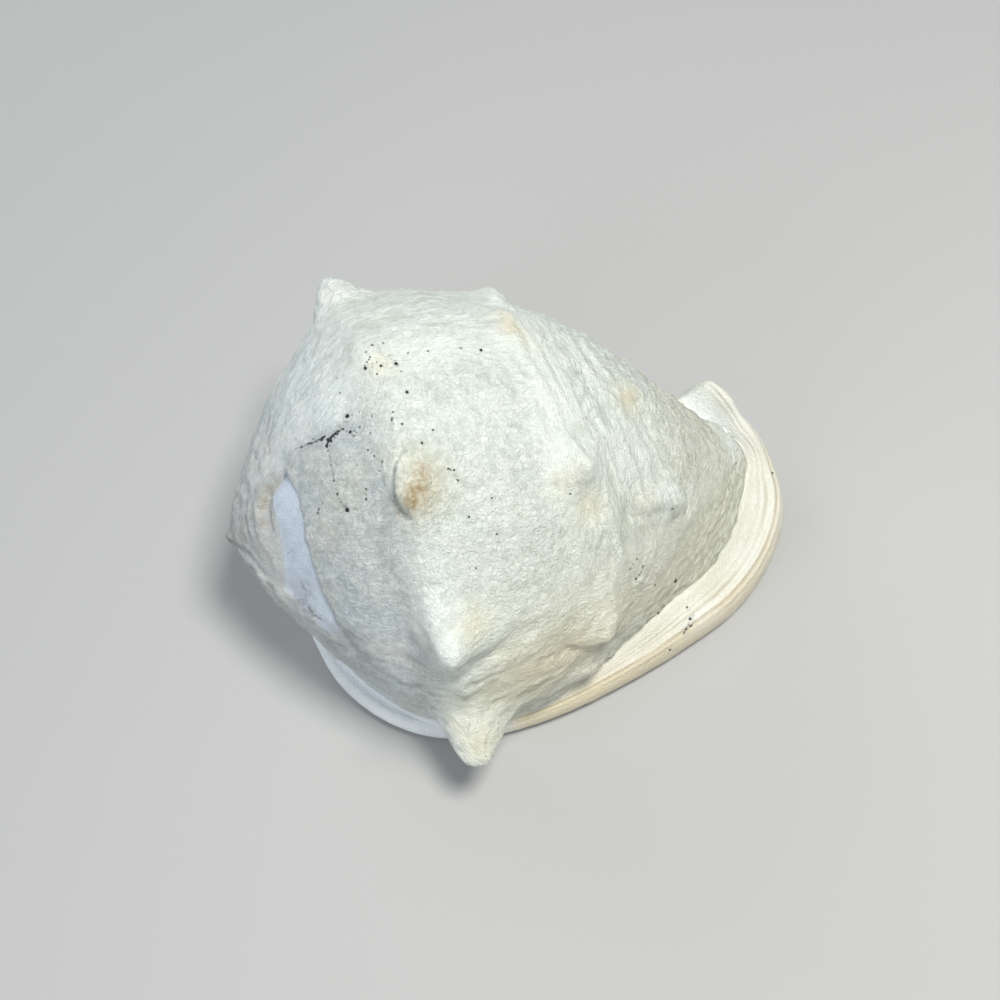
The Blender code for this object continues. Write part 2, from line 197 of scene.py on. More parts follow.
CREAM_STAINS = [
    (380, 365, 6, 0.7), (513, 326, 6, 1.0), (506, 314, 5, 0.6), (528, 345, 6, 0.4),
    (628, 398, 6.5, 1.0), (590, 506, 7, 0.8), (558, 482, 5, 0.4), (475, 626, 8, 0.8),
    (575, 475, 7, 0.4), (425, 475, 11, 0.8), (412, 505, 10, 0.7), (398, 455, 7, 0.3),
    (478, 745, 8, 0.9), (470, 700, 12, 0.4), (560, 660, 22, 0.75), (510, 668, 14, 0.4),
    (590, 690, 10, 0.4), (600, 640, 18, 0.4),
    (690, 560, 20, 0.3), (640, 600, 20, 0.3), (520, 690, 16, 0.4), (648, 500, 7, 0.4),
    (345, 480, 14, 0.2), (330, 520, 12, 0.2), (455, 725, 5, 0.5)]
# Dark marks; those on the middle shoulder knob's spire-side flank are painted shade.
SMUDGES_AND_SHADE = [
    (306, 588, 3.2, 0.9), (299, 600, 3.0, 0.8), (310, 610, 3.2, 1.0), (318, 618, 3.0, 0.8),
    (303, 596, 3.4, 0.4), (692, 618, 2.2, 0.35), (687, 630, 2.2, 0.3), (395, 476, 2.6, 0.6),
    (394, 496, 2.6, 0.6), (335, 436, 4.0, 0.45), (312, 443, 3.0, 0.25), (402, 455, 3.2, 0.3),
    (582, 452, 2.2, 0.2), (640, 506, 3.0, 0.2), (326, 640, 7.0, 0.25), (345, 662, 6.0, 0.2)]
PINK_STAINS = [
    (332, 290, 6.0, 0.9), (499, 328, 4.0, 0.8), (583, 465, 4.0, 0.2), (240, 520, 9.0, 0.6),
    (231, 538, 5.0, 0.8), (268, 445, 8.0, 0.4), (380, 292, 7.0, 0.4), (300, 430, 9.0, 0.3),
    (330, 548, 7.0, 0.35), (400, 655, 8.0, 0.3)]

# Swells seen in the photograph's outline: pixel across and down, reach and height in mm.
SWELLS = [
    (470, 290, 15, -3.2), (440, 288, 10, -1.2), (514, 298, 9, -1.6), (495, 300, 5, 3.0),
    (503, 316, 6, 1.3), (487, 298, 4, 1.0), (514, 308, 4, -1.0), (380, 288, 9, 1.0),
    (579, 331, 12, 1.2), (640, 371, 10, 1.2), (752, 432, 10, 1.4), (729, 397, 6, 1.2),
    (280, 600, 10, 1.5), (272, 390, 9, 1.4), (262, 431, 8, -1.2), (590, 668, 7, 1.6),
    (231, 536, 2.4, 2.2), (612, 655, 6, 1.0)]

# Folds seen in the photograph: height (minus for a valley) and half width in mm, then
# pixels across and down along the fold.
FOLDS = [
    (1.5, 5.5, [(372, 352), (388, 385), (398, 430), (408, 468), (416, 505), (421, 550), (425, 590),
                (434, 625), (446, 655), (462, 690)]),
    (-1.9, 10.0, [(352, 400), (364, 450), (370, 500), (378, 560), (388, 615), (406, 662)]),
    (-2.0, 1.6, [(404, 450), (396, 461), (392, 478), (393, 496), (399, 510), (408, 518)]),
    (0.7, 2.0, [(410, 452), (402, 466), (399, 482), (401, 498)]),
    (1.4, 4.2, [(503, 318), (522, 350), (545, 390), (566, 425), (583, 455), (600, 500), (618, 560),
                (612, 620)]),
    (-1.2, 2.2, [(514, 324), (534, 360), (552, 396), (566, 424), (582, 444), (589, 458)]),
    (0.6, 1.6, [(524, 330), (546, 366), (566, 402), (582, 430), (594, 448)]),
    (1.5, 2.8, [(612, 398), (628, 424), (642, 446), (658, 468), (676, 488), (684, 505)]),
    (-1.3, 1.7, [(638, 402), (652, 432), (666, 458), (680, 474), (690, 492), (688, 512)]),
    (1.0, 1.7, [(650, 402), (664, 430), (678, 456), (690, 476), (700, 496)]),
    (-0.8, 1.4, [(602, 400), (618, 430), (632, 456), (646, 474)]),
    (0.7, 1.6, [(590, 396), (606, 430), (620, 458), (632, 478)]),
    (1.0, 2.4, [(664, 470), (672, 490), (660, 502), (640, 508)]),
    (-0.9, 1.8, [(684, 500), (668, 512), (646, 516), (626, 514)]),
    (-1.3, 1.0, [(459, 750), (467, 755), (476, 756), (484, 753), (489, 748)]),
    (-1.8, 2.4, [(281, 476), (271, 488), (264, 505), (266, 530)]),
    (0.9, 1.5, [(279, 470), (263, 485), (257, 505), (257, 525), (263, 548)]),
    (-0.7, 1.2, [(264, 452), (250, 480), (244, 505), (248, 530), (258, 560)]),
    (-0.6, 1.2, [(241, 545), (262, 574), (284, 602), (305, 627)]),
    (-0.5, 0.9, [(452, 712), (462, 718), (474, 721), (488, 718)]),
    (-0.5, 0.9, [(456, 735), (468, 741), (482, 740), (494, 733)]),
    (-0.7, 1.3, [(446, 690), (470, 686), (500, 674), (540, 660), (575, 652)]),
    (-0.5, 1.0, [(470, 668), (505, 652), (545, 640), (590, 632)]),
    (-1.3, 3.5, [(434, 672), (448, 678), (466, 674), (488, 660), (510, 642), (535, 632)]),
    (-1.1, 2.6, [(566, 652), (584, 650), (602, 646), (620, 640)]),
    (0.9, 2.6, [(585, 668), (597, 672), (604, 664), (622, 650), (650, 628)]),
    (-0.6, 2.2, [(520, 505), (545, 490), (565, 488), (590, 492)]),
    (0.5, 2.0, [(345, 650), (362, 672), (390, 692), (420, 706)]),
    (-0.6, 1.6, [(330, 610), (350, 645), (372, 668), (400, 684), (430, 694)])]

# The broken edge of the outer layer beside the spire, as angle against distance along the
# axis, and the smooth strip that it leaves bare, as distance against angle.
BREAK_TOP = [(0, 18), (8, 34), (14, 61), (16, 74), (20, 81), (26, 83), (40, 84)]
BARE_OUTER = [(-60, 40), (-14, 37), (0, 35), (16, 33), (31, 29.5), (51, 28.5), (67, 29),
              (80, 27), (83, 26)]
BARE_INNER = [(-60, 30), (-14, 27), (-7, 21), (12, 17), (51, 18.5), (75, 19.5), (83, 26)]
BREAK_STEP = 0.9
# Distance along the axis, at the lip's scale, of the seam between the last two whorls.
SUTURE = 31.0

# Spiral ridges on the body: distance along the axis, height and width in mm.
SPIRAL_RIDGES = [
    (112, 0.5, 1.8), (121, 0.7, 1.8), (131, 1.2, 3.2), (141, 0.8, 1.7), (150, 1.0, 1.8),
    (158, 0.9, 1.7), (167, 1.4, 1.9), (175, 1.0, 1.7), (182, 0.9, 1.5), (188, 0.8, 1.4),
    (194, 0.7, 1.3), (200, 0.6, 1.3), (206, 0.5, 1.3)]

# Where the body's skin ends over the lip: share of the way round against the place between
# the guide rings, and the height of its edge.
SKIN_EDGE = [(0, 26.6), (0.06, 27.2), (0.08, 27.5), (0.11, 28.0), (0.155, 27.9), (0.175, 27.3),
             (0.205, 26.6), (0.24, 26.5), (0.28, 26.8), (0.36, 26.5), (1, 26.5)]
SKIN_EDGE_STEP = 0.9
THIN_EDGE_TAKES = 0.7
# The skin is carried straight over the valley behind the lip between these places.
BRIDGE = (24.0, 27.8)
BRIDGE_RISE = 1.0
# The fill in the valley at the back: height, place between the guide rings and width.
BACK_FILL = (1.3, 27.2, 0.7)
# How much lower the body lies towards the canal, where the ridges stand on it.
CANAL_SINK = 0.3

# Grooves along the lip band: place between the guide rings, depth and width, and the depth
# from which a groove has its full painted shade.
LIP_GROOVES = [(28.3, 0.15, 0.12), (28.9, 0.35, 0.11), (29.35, 0.8, 0.12), (29.75, 0.25, 0.10),
               (30.25, 1.0, 0.14), (30.8, 0.35, 0.12)]
FULL_GROOVE = 0.6

# Crumples: the size and share of each layer, how much longer they are along a fold, the
# sideways bend of their pattern, and their height with what each zone takes or adds.
CRUMPLE_LAYERS = [(5.4, 0.45), (3.6, 0.35), (2.6, 0.2)]
CRUMPLE_STRETCH = 2.6
CRUMPLE_BEND = 2.2
CRUMPLE_HEIGHT = 1.75
QUIET_TAKES = 1.0
COILED_ADDS = 0.15
AXIAL_ADDS = 0.2
FAR_SIDE_TAKES = 0.45
BARE_TAKES = 0.93
# Soft waves of the surface: height, size and seed of the noise. The first two lie under the
# crumples, and the others beside the lip, on the lip, round the canal and on the shield.
WIDE_WAVES, CLOSE_WAVES = (0.7, 19.0, 7), (0.45, 10.0, 8)
EDGING_WAVES, LIP_WAVES = (0.35, 1.0, 44), (0.12, 5.0, 16)
COLLAR_WAVES, SHIELD_WAVES = (0.35, 2.6, 17), (0.15, 16.0, 18)
# The same for borders that waver, and for ridges that shift along the axis.
SKIN_EDGE_WAVER, COILED_WAVER, PAINTED_SHADE_WAVER = (0.12, 6.0, 43), (8, 20.0, 46), (5, 14.0, 45)
BREAK_WAVER, BREAK_RAGGED, BREAK_FADE_WAVER = (0.5, 9.0, 42), (0.7, 3.0, 41), (8, 7.0, 47)
RIDGE_SHIFT, RIDGE_WAVER = (1.8, 26.0, 10), (0.6, 8.0, 13)
RIDGE_BREAKS = (9.0, 14.0, 22.0)
# An angle in radians times this is about the way round the whorl in mm.
TURN_RADIUS = 60

# The spire's early whorls: height of their steps and of the beads along them, how many beads
# there are in a turn, and where and how wide the row of beads lies on a step.
SPIRE_STEP = 1.4
BEAD_HEIGHT = 0.7
BEADS_ROUND = 9
BEAD_PLACE = 0.25
BEAD_WIDTH = 0.16

# Where parts of the finish fade in or out, low and high: share of the way round.
LIP_START, LIP_END, BACK_END = (-0.01, 0.02), (0.33, 0.37), (0.56, 0.62)
EDGING_START, EDGING_END = (0.0, 0.04), (0.2, 0.27)
BRIDGE_START, BRIDGE_END = (0.035, 0.075), (0.165, 0.20)
THIN_EDGE_START, THIN_EDGE_END = (0.0, 0.05), (0.15, 0.2)
ROLL_TAN_START, LIP_TAN_START, SHALLOW_GROOVES = (0.04, 0.2), (0.22, 0.32), (0.25, 0.35)
# Place between the guide rings.
EDGING_PLACE, SKIN_EDGE_PLACE, OUTER_ROLL = (20.5, 24.5), (24.5, 26.0), (29.5, 30.6)
ROOT_FADE = 0.12
# Distance along the axis in mm.
SPIRE_END, COOL_END, RIDGES_START, CANAL_SINKS = (24, 33), (45, 85), (96, 125), (120, 160)
WARM_ALONG, WARM_CANAL = (60, 115), (150, 190)
COILED_ALONG, FAR_ALONG, LOW_ALONG = (112, 146), (8, 20), (38, 60)
# Limits of the painted shade on the spire side's slope: its start and end along the axis here, its
# top and low side among the angles below.
PAINTED_SHADE_START, PAINTED_SHADE_END = (25, 31), (58, 69)
COLLAR_ALONG, SPECKLED_ALONG = (200, 208), (196, 206)
# Angle round the axis in degrees.
WARM_ANGLE, COILED_ANGLE, FAR_ANGLE, LOW_ANGLE = (5, 75), (14, 34), (84, 104), (14, 38)
PAINTED_SHADE_TOP, PAINTED_SHADE_LOW, SPECKLED_ANGLE = (80, 92), (-40, -10), (35, 60)
CALM_ANGLE, QUIET_ANGLE, RIDGES_ANGLE, BREAK_ANGLE = (92, 125), (95, 120), (-5, 25), (0, 18)

# Colours of the finish, painted shade and painted highlights among them. A pair is the darker and
# the lighter part of its patches.
CHALK = (0.78, 0.85, 0.79), (0.85, 0.90, 0.84)
# Bluish chalk of the spire side: partly its own tone, partly painted bluish shade.
COOL_CHALK_AND_BLUE_SHADE = (0.64, 0.74, 0.80), (0.72, 0.78, 0.78)
# Painted shade: the darker blue-grey laid on the spire side's slope below the shoulder.
PAINTED_SHADE_CHALK = (0.37, 0.44, 0.49), (0.46, 0.49, 0.48)
# Cream of the lip side and of the skin beside the lip: partly its own colour, partly darkened as
# painted half-shade.
WARM_CHALK_AND_HALF_SHADE = (0.69, 0.675, 0.52)
LIP_SIDE_CHALK_AND_HALF_SHADE = (0.62, 0.60, 0.46)
SPIRE_CHALK = (0.58, 0.58, 0.60)
# Painted highlight on the crumples' crests.
CREST_HIGHLIGHT = (0.93, 0.95, 0.92)
# Colour of the pale stains, also used for the painted highlights on lit knob tops.
STAIN_AND_HIGHLIGHT_WHITE = (0.89, 0.94, 0.92)
PATCH_WHITE = (0.90, 0.94, 0.90)
FLECK_WHITE = (0.93, 0.96, 0.92)
GRAIN_GREY = (0.50, 0.54, 0.48)
# Painted shade in the crumples' hollows and creases, and the grey of the speckles by the canal.
SHADE_AND_SPECKLE_TINT = (0.55, 0.58, 0.52)
IVORY = (0.74, 0.74, 0.65), (0.81, 0.81, 0.74)
LIP_TAN = (0.72, 0.63, 0.44)
# Painted shade in the lip's grooves.
GROOVE_SHADE_TINT = (0.64, 0.57, 0.44)
BACK_ENAMEL = (0.84, 0.90, 0.93), (0.89, 0.94, 0.96)
STRIP_BLUE = (0.49, 0.56, 0.65), (0.58, 0.65, 0.74)
SHIELD_ENAMEL = (0.82, 0.78, 0.69), (0.88, 0.86, 0.81)
THROAT_BROWN = (0.70, 0.54, 0.40)
HOLLOW_CREAM = (0.80, 0.72, 0.62)
LIP_WHITE = (0.93, 0.96, 0.96)
CREAM = (0.78, 0.70, 0.46)
# Colour of the tan stains and of the painted shade beside the broken layer's step.
BROWN_AND_STEP_SHADE = (0.38, 0.25, 0.11)
PINK = (0.76, 0.63, 0.63)
# Colour of the dark marks and of the painted shade that some of them stand for.
SOOT_AND_SHADE = (0.16, 0.18, 0.20)
HALO_GREY = (0.30, 0.33, 0.32)
# Painted shade inside the borings and cracks.
HOLE_SHADE_BLACK = (0.018, 0.024, 0.022)

# Fine wrinkles: how many there are in a mm along the axis and round it, in each part of the
# skin, and beside the lip and on it how many between two guide rings and the whole way round.
PLAIN_WRINKLES = (0.26, 0.40, 0.0)
COILED_WRINKLES = (0.40, 0.15, 0.0)
AXIAL_WRINKLES = (0.14, 0.38, 0.0)
EDGING_WRINKLES = (1.9, 34.0, 0.0)
LIP_LINES = (2.4, 10.0, 0.0)

# Soft patches in a metre, from wide clouds to fine grain.
CLOUDS, PATCHES, FLECKS, GRAIN = 45.0, 170.0, 520.0, 1100.0
BORING_EDGE = {"Grains per metre": 900.0, "Raggedness": 0.9}
CRACK_EDGE = {"Grains per metre": 620.0, "Raggedness": 6.0}

# Roughness of the skin, what the patches add to it and what the smooth parts take off.
ROUGHNESS = 0.54
PATCH_ROUGHNESS = 0.12
SMOOTH_TAKES = -0.16

# Relief in the material: height in metres, strength, and the parts of its height.
BUMP_HEIGHT = 0.0013
BUMP_STRENGTH = 0.95
ROUGH_SHARE, SMOOTH_SHARE = 0.95, 0.05
LIP_LINE_LIFT = 0.12
GRAIN_LIFT = 0.2
HOLE_LIFT = -1.2

# The stage: floor, lights as name, place, size, power and colour, and the surround.
FLOOR_HALF = 2.0
FLOOR_COLOUR = (0.42, 0.42, 0.415)
FLOOR_ROUGHNESS = 0.8
LIGHT_TARGET = (0.0, 0.0, 0.06)
LIGHTS = [
    ("key_light", (0.36, -0.28, 1.17), 0.3, 16.2, (1.0, 0.99, 0.95)),
    ("back_fill", (-0.45, 0.95, 0.7), 0.7, 4.0, (0.93, 0.97, 1.0)),
    ("cool_fill", (-0.8, -0.5, 0.45), 0.7, 3.0, (0.94, 0.97, 1.0)),
    ("warm_fill", (0.3, -0.9, 0.3), 0.8, 0.6, (1.0, 0.93, 0.80))]
SURROUND_COLOUR = (0.86, 0.92, 1.0)
SURROUND_STRENGTH = 0.32

NOISE_CELLS = 32
SLOPES = np.random.default_rng(11).normal(size=(NOISE_CELLS, NOISE_CELLS, NOISE_CELLS, 3))


def through(points, x):
    """A smooth curve through the points, without overshoot."""
    known = np.asarray(points, float)
    at, value = known[:, 0], known[:, 1]
    step = np.diff(at)
    slope = np.diff(value) / step
    before, after = slope[:-1], slope[1:]
    same = before * after > 0
    mean = np.where(same, 2 * before * after / np.where(same, before + after, 1), 0.0)
    lean = np.concatenate([slope[:1], mean, slope[-1:]])
    x = np.clip(x, at[0], at[-1])
    i = np.clip(np.searchsorted(at, x, side="right") - 1, 0, len(at) - 2)
    wide = step[i]
    t = (x - at[i]) / wide
    start = (2 * t**3 - 3 * t**2 + 1) * value[i] + (t**3 - 2 * t**2 + t) * wide * lean[i]
    end = (3 * t**2 - 2 * t**3) * value[i + 1] + (t**3 - t**2) * wide * lean[i + 1]
    return start + end


def ease(low, high, x):
    """0 below low, 1 above high, smooth between."""
    t = np.clip((x - low) / (high - low), 0, 1)
    return t * t * (3 - 2 * t)


def spoke(angle):
    """Unit vector away from the axis at an angle in degrees."""
    turn = np.radians(np.asarray(angle, float))[..., None]
    return np.cos(turn) * LIP_WARD + np.sin(turn) * AXIS_UP


def upright(angle):
    """The same angle between -90 and 270, so that the jump is below the shell."""
    return (angle + 90) % 360 - 90


def growth(angle):
    """Scale of the whorl round the axis."""
    past_shield = np.where(angle > SHIELD_ANGLE, angle, angle + 360) - SHIELD_ANGLE
    hidden = (angle > SHIELD_ANGLE) | (angle < LIP_ANGLE)
    back = SHIELD_ANGLE - LIP_ANGLE
    blended = SHIELD_ANGLE - back * ease(0, 360 - back, past_shield)
    return GROWTH_PER_TURN ** (-np.where(hidden, blended, angle) / 360)


def whorl_radius(x, angle):
    """Distance from the axis to the body whorl's outside."""
    angle = upright(angle)
    scale = growth(angle)
    from_lip = np.where(angle > 200, 400 - angle, angle)
    far = ease(-10, 110, from_lip)
    lip_side = through(PROFILE_LIP, x / scale)
    return scale * ((1 - far) * lip_side + far * through(PROFILE_FAR, x / scale))


def round_axis(points):
    """Distance along the axis, distance from it, and angle round it."""
    away = points - APEX
    side, up = away @ LIP_WARD, away @ AXIS_UP
    return away @ AXIS, np.hypot(side, up), np.degrees(np.arctan2(up, side))


def body_points(heading, climb):
    """Where rays from inside the dome meet the body whorl, found by halving."""
    level = np.cos(climb)
    ray = np.stack([level * np.cos(heading), level * np.sin(heading), np.sin(climb)], -1)
    near, far = np.full(climb.shape, 1.0), np.full(climb.shape, 200.0)
    for _ in range(26):
        middle = (near + far) / 2
        x, radius, angle = round_axis(RAY_CENTRE + ray * middle[..., None])
        inside = (x > 0) & (radius < whorl_radius(x, angle))
        near, far = np.where(inside, middle, near), np.where(inside, far, middle)
    return RAY_CENTRE + ray * near[..., None]


def closed_curve(points, place):
    """A closed Catmull-Rom curve; place counts the points."""
    i = np.floor(place).astype(int)
    t = (place - i)[:, None]
    a, b, c, d = (points[(i + shift) % len(points)] for shift in (-1, 0, 1, 2))
    square, cube = 2 * a - 5 * b + 4 * c - d, 3 * b - a - 3 * c + d
    return b + 0.5 * t * (c - a + t * (square + t * cube))


def evenly(points, count):
    """Evenly spaced points along the closed curve."""
    fine = np.linspace(0, len(points), 40 * len(points) + 1)
    track = closed_curve(points, fine)[:, :3]
    length = np.concatenate([[0], np.cumsum(np.linalg.norm(np.diff(track, axis=0), axis=1))])
    return closed_curve(points, np.interp(np.arange(count) / count * length[-1], length, fine))


def outward(loop):
    """Level unit vectors pointing out of a loop that runs clockwise seen from above."""
    along = np.roll(loop, -1, 0) - np.roll(loop, 1, 0)
    across = np.stack([-along[:, 1], along[:, 0], np.zeros(len(loop))], -1)
    across /= np.linalg.norm(across, axis=1, keepdims=True)
    return across * np.sign(np.sum(across * (loop - loop.mean(0)) * (1, 1, 0)))


def cavity_ring(columns, angle, first, last, columella, wall, lowest):
    """One section of the hollow whorl, in the half plane at this angle."""
    turn = 2 * np.pi * np.arange(columns) / columns
    x = (first + last) / 2 + (last - first) / 2 * np.cos(turn)
    out = spoke(angle)
    outer = whorl_radius(x, np.full(columns, float(angle))) - wall
    on_axis = APEX + AXIS * x[:, None]
    if out[2] < -0.05:
        outer = np.minimum(outer, (lowest - on_axis[:, 2]) / out[2])
    slimmer_at_canal = 1 - 0.75 * ease(120, 195, x)
    inner = np.minimum(columella * slimmer_at_canal, outer - 4)
    swing = np.sign(np.sin(turn)) * np.abs(np.sin(turn)) ** CAVITY_SQUARENESS
    return on_axis + out * ((outer + inner) / 2 + (outer - inner) / 2 * swing)[:, None]


def between(share, limits):
    """1 where the share lies between the middle two limits, easing to 0 at the outer two."""
    return ease(limits[0], limits[1], share) * (1 - ease(limits[2], limits[3], share))


def body_rings(heading, root_height):
    """Rings from the crown down the body whorl to the root of the lip and shield."""
    low, high = np.full(len(heading), -1.2), np.full(len(heading), 0.9)
    for _ in range(22):
        middle = (low + high) / 2
        above = body_points(heading, middle)[:, 2] > root_height
        low, high = np.where(above, low, middle), np.where(above, middle, high)
    steps = np.arange(BODY_GUIDES + 1)[:, None] / BODY_GUIDES
    return list(body_points(heading, np.pi / 2 + (low - np.pi / 2) * steps))


def edge_rings(rim, half, out, root):
    """Rings over the lip and shield from the root and round the free edge."""
    reach = 1 - 0.6 * ease(14, 34, rim[:, 2:])
    room = np.sum((rim - root) * out, axis=1, keepdims=True)
    shelf = rim - np.clip(0.5 * room, 1, 9 * reach) * out + (half - 1) * UP
    gap = shelf - root
    dip = (0.8 + 6 * (1 - reach)) * UP
    rings = [root + 0.14 * gap - dip, root + 0.45 * gap - 1.4 * dip, shelf]
    for inset, rise in [(2.5, 0.95), (-0.6, 0.45), (-0.6, -0.3), (1.5, -0.85)]:
        rings.append(rim - inset * reach * out + rise * half * UP)
    return rings


def underside_rings(rim, half, out, slit):
    """Rings across the flat ring and the underside, and in over the aperture's teeth."""
    reach = 1 - 0.6 * ease(14, 34, rim[:, 2:])
    slit_out = outward(slit)
    narrow = 1 - 0.7 * ease(9, 20, slit[:, 2:])
    mouth = slit + MOUTH_ROUNDING * narrow * slit_out - 2.2 * UP
    across = np.sum((rim - mouth) * out, axis=1, keepdims=True)
    rings = []
    for inset, rise in [(6, -1.05), (12, -1.05), (18, -0.95)]:
        rings.append(rim - inset * np.minimum(reach, across / 24) * out + rise * half * UP)
    flat = rings[-1]
    for share, rise in [(0.2, 1.5), (0.5, 0.5), (0.8, 0.3)]:
        rings.append(flat + share * (mouth - flat) + rise * UP)
    share = np.arange(len(slit)) / len(slit)
    wave = 2 * np.pi * TEETH_ROUND_SLIT * share
    tooth = TOOTH_DEPTH * between(share, LIP_TEETH) * (0.5 - 0.5 * np.cos(wave))
    plait = PLAIT_HEIGHT * between(share, COLUMELLA_PLAITS) * np.cos(2 * wave)
    cut = -slit_out * (tooth + plait)[:, None]
    inward = narrow * UP
    rings.append(mouth - 0.4 * tooth[:, None] * UP)
    rings.append(slit + 1.5 * narrow * slit_out - 0.8 * UP + cut)
    rings.append(slit + 1.5 * inward + cut)
    rings.append(slit + 6 * inward + 0.5 * cut)
    return rings, slit + 12 * inward


def cavity_rings(throat):
    """Rings from the throat round the columella to the point where the hollow ends."""
    columns = len(throat)
    rings = [0.5 * cavity_ring(columns, *THROAT) + 0.5 * throat]
    rings += [cavity_ring(columns, *section) for section in CAVITY]
    end = cavity_ring(columns, *CAVITY_END)
    return rings + [0.6 * end + 0.4 * end.mean(0), np.repeat(end.mean(0)[None], columns, 0)]


def guide_rings(columns):
    """The rings that the surface is drawn through, and the last ring of each zone."""
    edge = evenly(EDGE, columns)
    rim, half = edge[:, :3], edge[:, 3:4]
    out = outward(rim)
    heading = np.arctan2(rim[:, 1] - RAY_CENTRE[1], rim[:, 0] - RAY_CENTRE[0])
    body = body_rings(heading, edge[:, 4])
    around = edge_rings(rim, half, out, body[-1])
    under, throat = underside_rings(rim, half, out, evenly(SLIT, columns))
    zones = [body, around, under, cavity_rings(throat)]
    ends = np.cumsum([len(zone) for zone in zones]) - 1
    return np.concatenate(zones), ends


def drawn_through(rings, place):
    """Rings of the surface at fractional places among the guide rings, by a cubic B-spline."""
    before, after = 2 * rings[:1] - rings[1:2], 2 * rings[-1:] - rings[-2:-1]
    padded = np.concatenate([before, rings, after])
    i = np.clip(np.floor(place).astype(int), 0, len(rings) - 2)
    t = (place - i)[:, None, None]
    weights = ((1 - t)**3, 3 * t**3 - 6 * t**2 + 4, 3 * t + 3 * t**2 - 3 * t**3 + 1, t**3)
    return sum(weight * padded[i + shift] for shift, weight in enumerate(weights)) / 6


def knob_frames(knobs):
    """Foot, outward direction and shape of each knob."""
    for angle, x, *shape in knobs:
        out = spoke(angle)
        radius = whorl_radius(np.array([x - 3.0, x, x + 3.0]), np.full(3, float(angle)))
        slope = (radius[2] - radius[0]) / 6
        direction = (out - slope * AXIS) / math.hypot(1, slope)
        yield APEX + AXIS * x + out * radius[1], direction, shape


def with_knobs(points, free, knobs):
    """Raise the shoulder and the knobs, each with a net point drawn onto its tip first.

    free says how far each ring may move, 1 on the open body and 0 from the root on.
    """
    x, _, angle = round_axis(points)
    across = (x / growth(upright(angle)) - SHOULDER) / SHOULDER_WIDTH
    cord = SHOULDER_HEIGHT * np.exp(-across**2) * free
    raised = points + spoke(angle) * cord[..., None]
    for foot, *_ in knob_frames(knobs):
        gap = foot - points
        near = np.unravel_index(np.argmin(np.linalg.norm(gap, axis=-1)), gap.shape[:-1])
        spread = np.linalg.norm(points - points[near], axis=-1) / NET_DRAW
        drawn = gap[near] * (free * np.exp(-spread**2))[..., None]
        points, raised = points + drawn, raised + drawn
    for foot, direction, (height, width, roundness, narrower) in knob_frames(knobs):
        gap = points - foot
        depth = gap @ direction
        level = gap - depth[..., None] * direction
        level = level + ((narrower - 1) * np.minimum(level @ AXIS, 0))[..., None] * AXIS
        aside = np.linalg.norm(level, axis=-1) / width
        blunt = np.sqrt(aside**2 + KNOB_BLUNTNESS) - math.sqrt(KNOB_BLUNTNESS)
        on_this_side = ease(-40, -20, depth) * free
        lift = height * np.exp(-KNOB_STEEPNESS * blunt**roundness) * on_this_side
        raised = raised + direction * lift[..., None]
    return raised


def shell_net(knobs, columns, body_count, edge_count, underside_count, cavity_count):
    """The whole surface as rings by columns, the place of each ring, and the zones' ends."""
    rings, ends = guide_rings(columns)
    body, edge, underside, last = ends
    place = np.concatenate([
        np.linspace(0, body, body_count, endpoint=False),
        np.linspace(body, edge, edge_count, endpoint=False),
        np.linspace(edge, underside, underside_count, endpoint=False),
        np.linspace(underside, last, cavity_count)])
    free = 1 - ease(body - 3, body, place)[:, None]
    net = with_knobs(drawn_through(rings, place), free, knobs)
    net[..., 2] = np.maximum(net[..., 2], 0)
    return net, np.broadcast_to(place[:, None], net.shape[:2]), ends


def bridged(net, place):
    """Carry the body's skin over the valley behind the lip on the canal's side."""
    share = np.arange(net.shape[1]) / net.shape[1]
    first, last = (np.argmax(place[:, 0] >= limit) for limit in BRIDGE)
    along = np.clip((place[:, :1] - BRIDGE[0]) / (BRIDGE[1] - BRIDGE[0]), 0, 1)[..., None]
    straight = net[first] + along * (net[last] - net[first])
    straight[..., 2] += BRIDGE_RISE * np.sin(np.pi * along[..., 0])
    weight = ease(*BRIDGE_START, share) * (1 - ease(*BRIDGE_END, share))
    inside = (along > 0) & (along < 1)
    return net + np.where(inside, weight[:, None] * (straight - net), 0)


def normals(net):
    """Outward unit vectors: the cross product of the steps along the ring and down it."""
    along = np.roll(net, -1, 1) - np.roll(net, 1, 1)
    down = np.gradient(net, axis=0)
    cross = np.cross(along, down)
    cross[0], cross[-1] = cross[1].mean(0), cross[-2].mean(0)
    return cross / np.maximum(np.linalg.norm(cross, axis=-1, keepdims=True), 1e-9)


def noise(points, size, seed=0):
    """Gradient noise, about -1 to 1: slopes at the corners of cells this size, smoothed."""
    at = points / np.asarray(size, float) + 7.31 * seed
    cell = np.floor(at).astype(int)
    t = at - cell
    smooth = t**3 * (t * (6 * t - 15) + 10)
    total = 0.0
    for corner in itertools.product((0, 1), repeat=3):
        slope = SLOPES[tuple(np.moveaxis((cell + corner) % NOISE_CELLS, -1, 0))]
        share = np.prod(np.where(corner, smooth, 1 - smooth), axis=-1)
        total = total + share * np.sum(slope * (t - corner), axis=-1)
    return total


def waves(points, height, size, seed):
    """Gradient noise of this height and size."""
    return height * noise(points, size, seed)


def creased(points, size, seed):
    """Rounded lumps with sharp creases between them: the size of the noise, from 0 to 1."""
    return np.clip(np.abs(noise(points, size, seed)) * 1.6, 0, 1) ** 0.7


def crested(points, size, seed):
    """Narrow crests with wide hollows between them, from 0 to 1."""
    return 1 - np.clip(np.abs(noise(points, size, seed)) * 1.9, 0, 1) ** 0.75


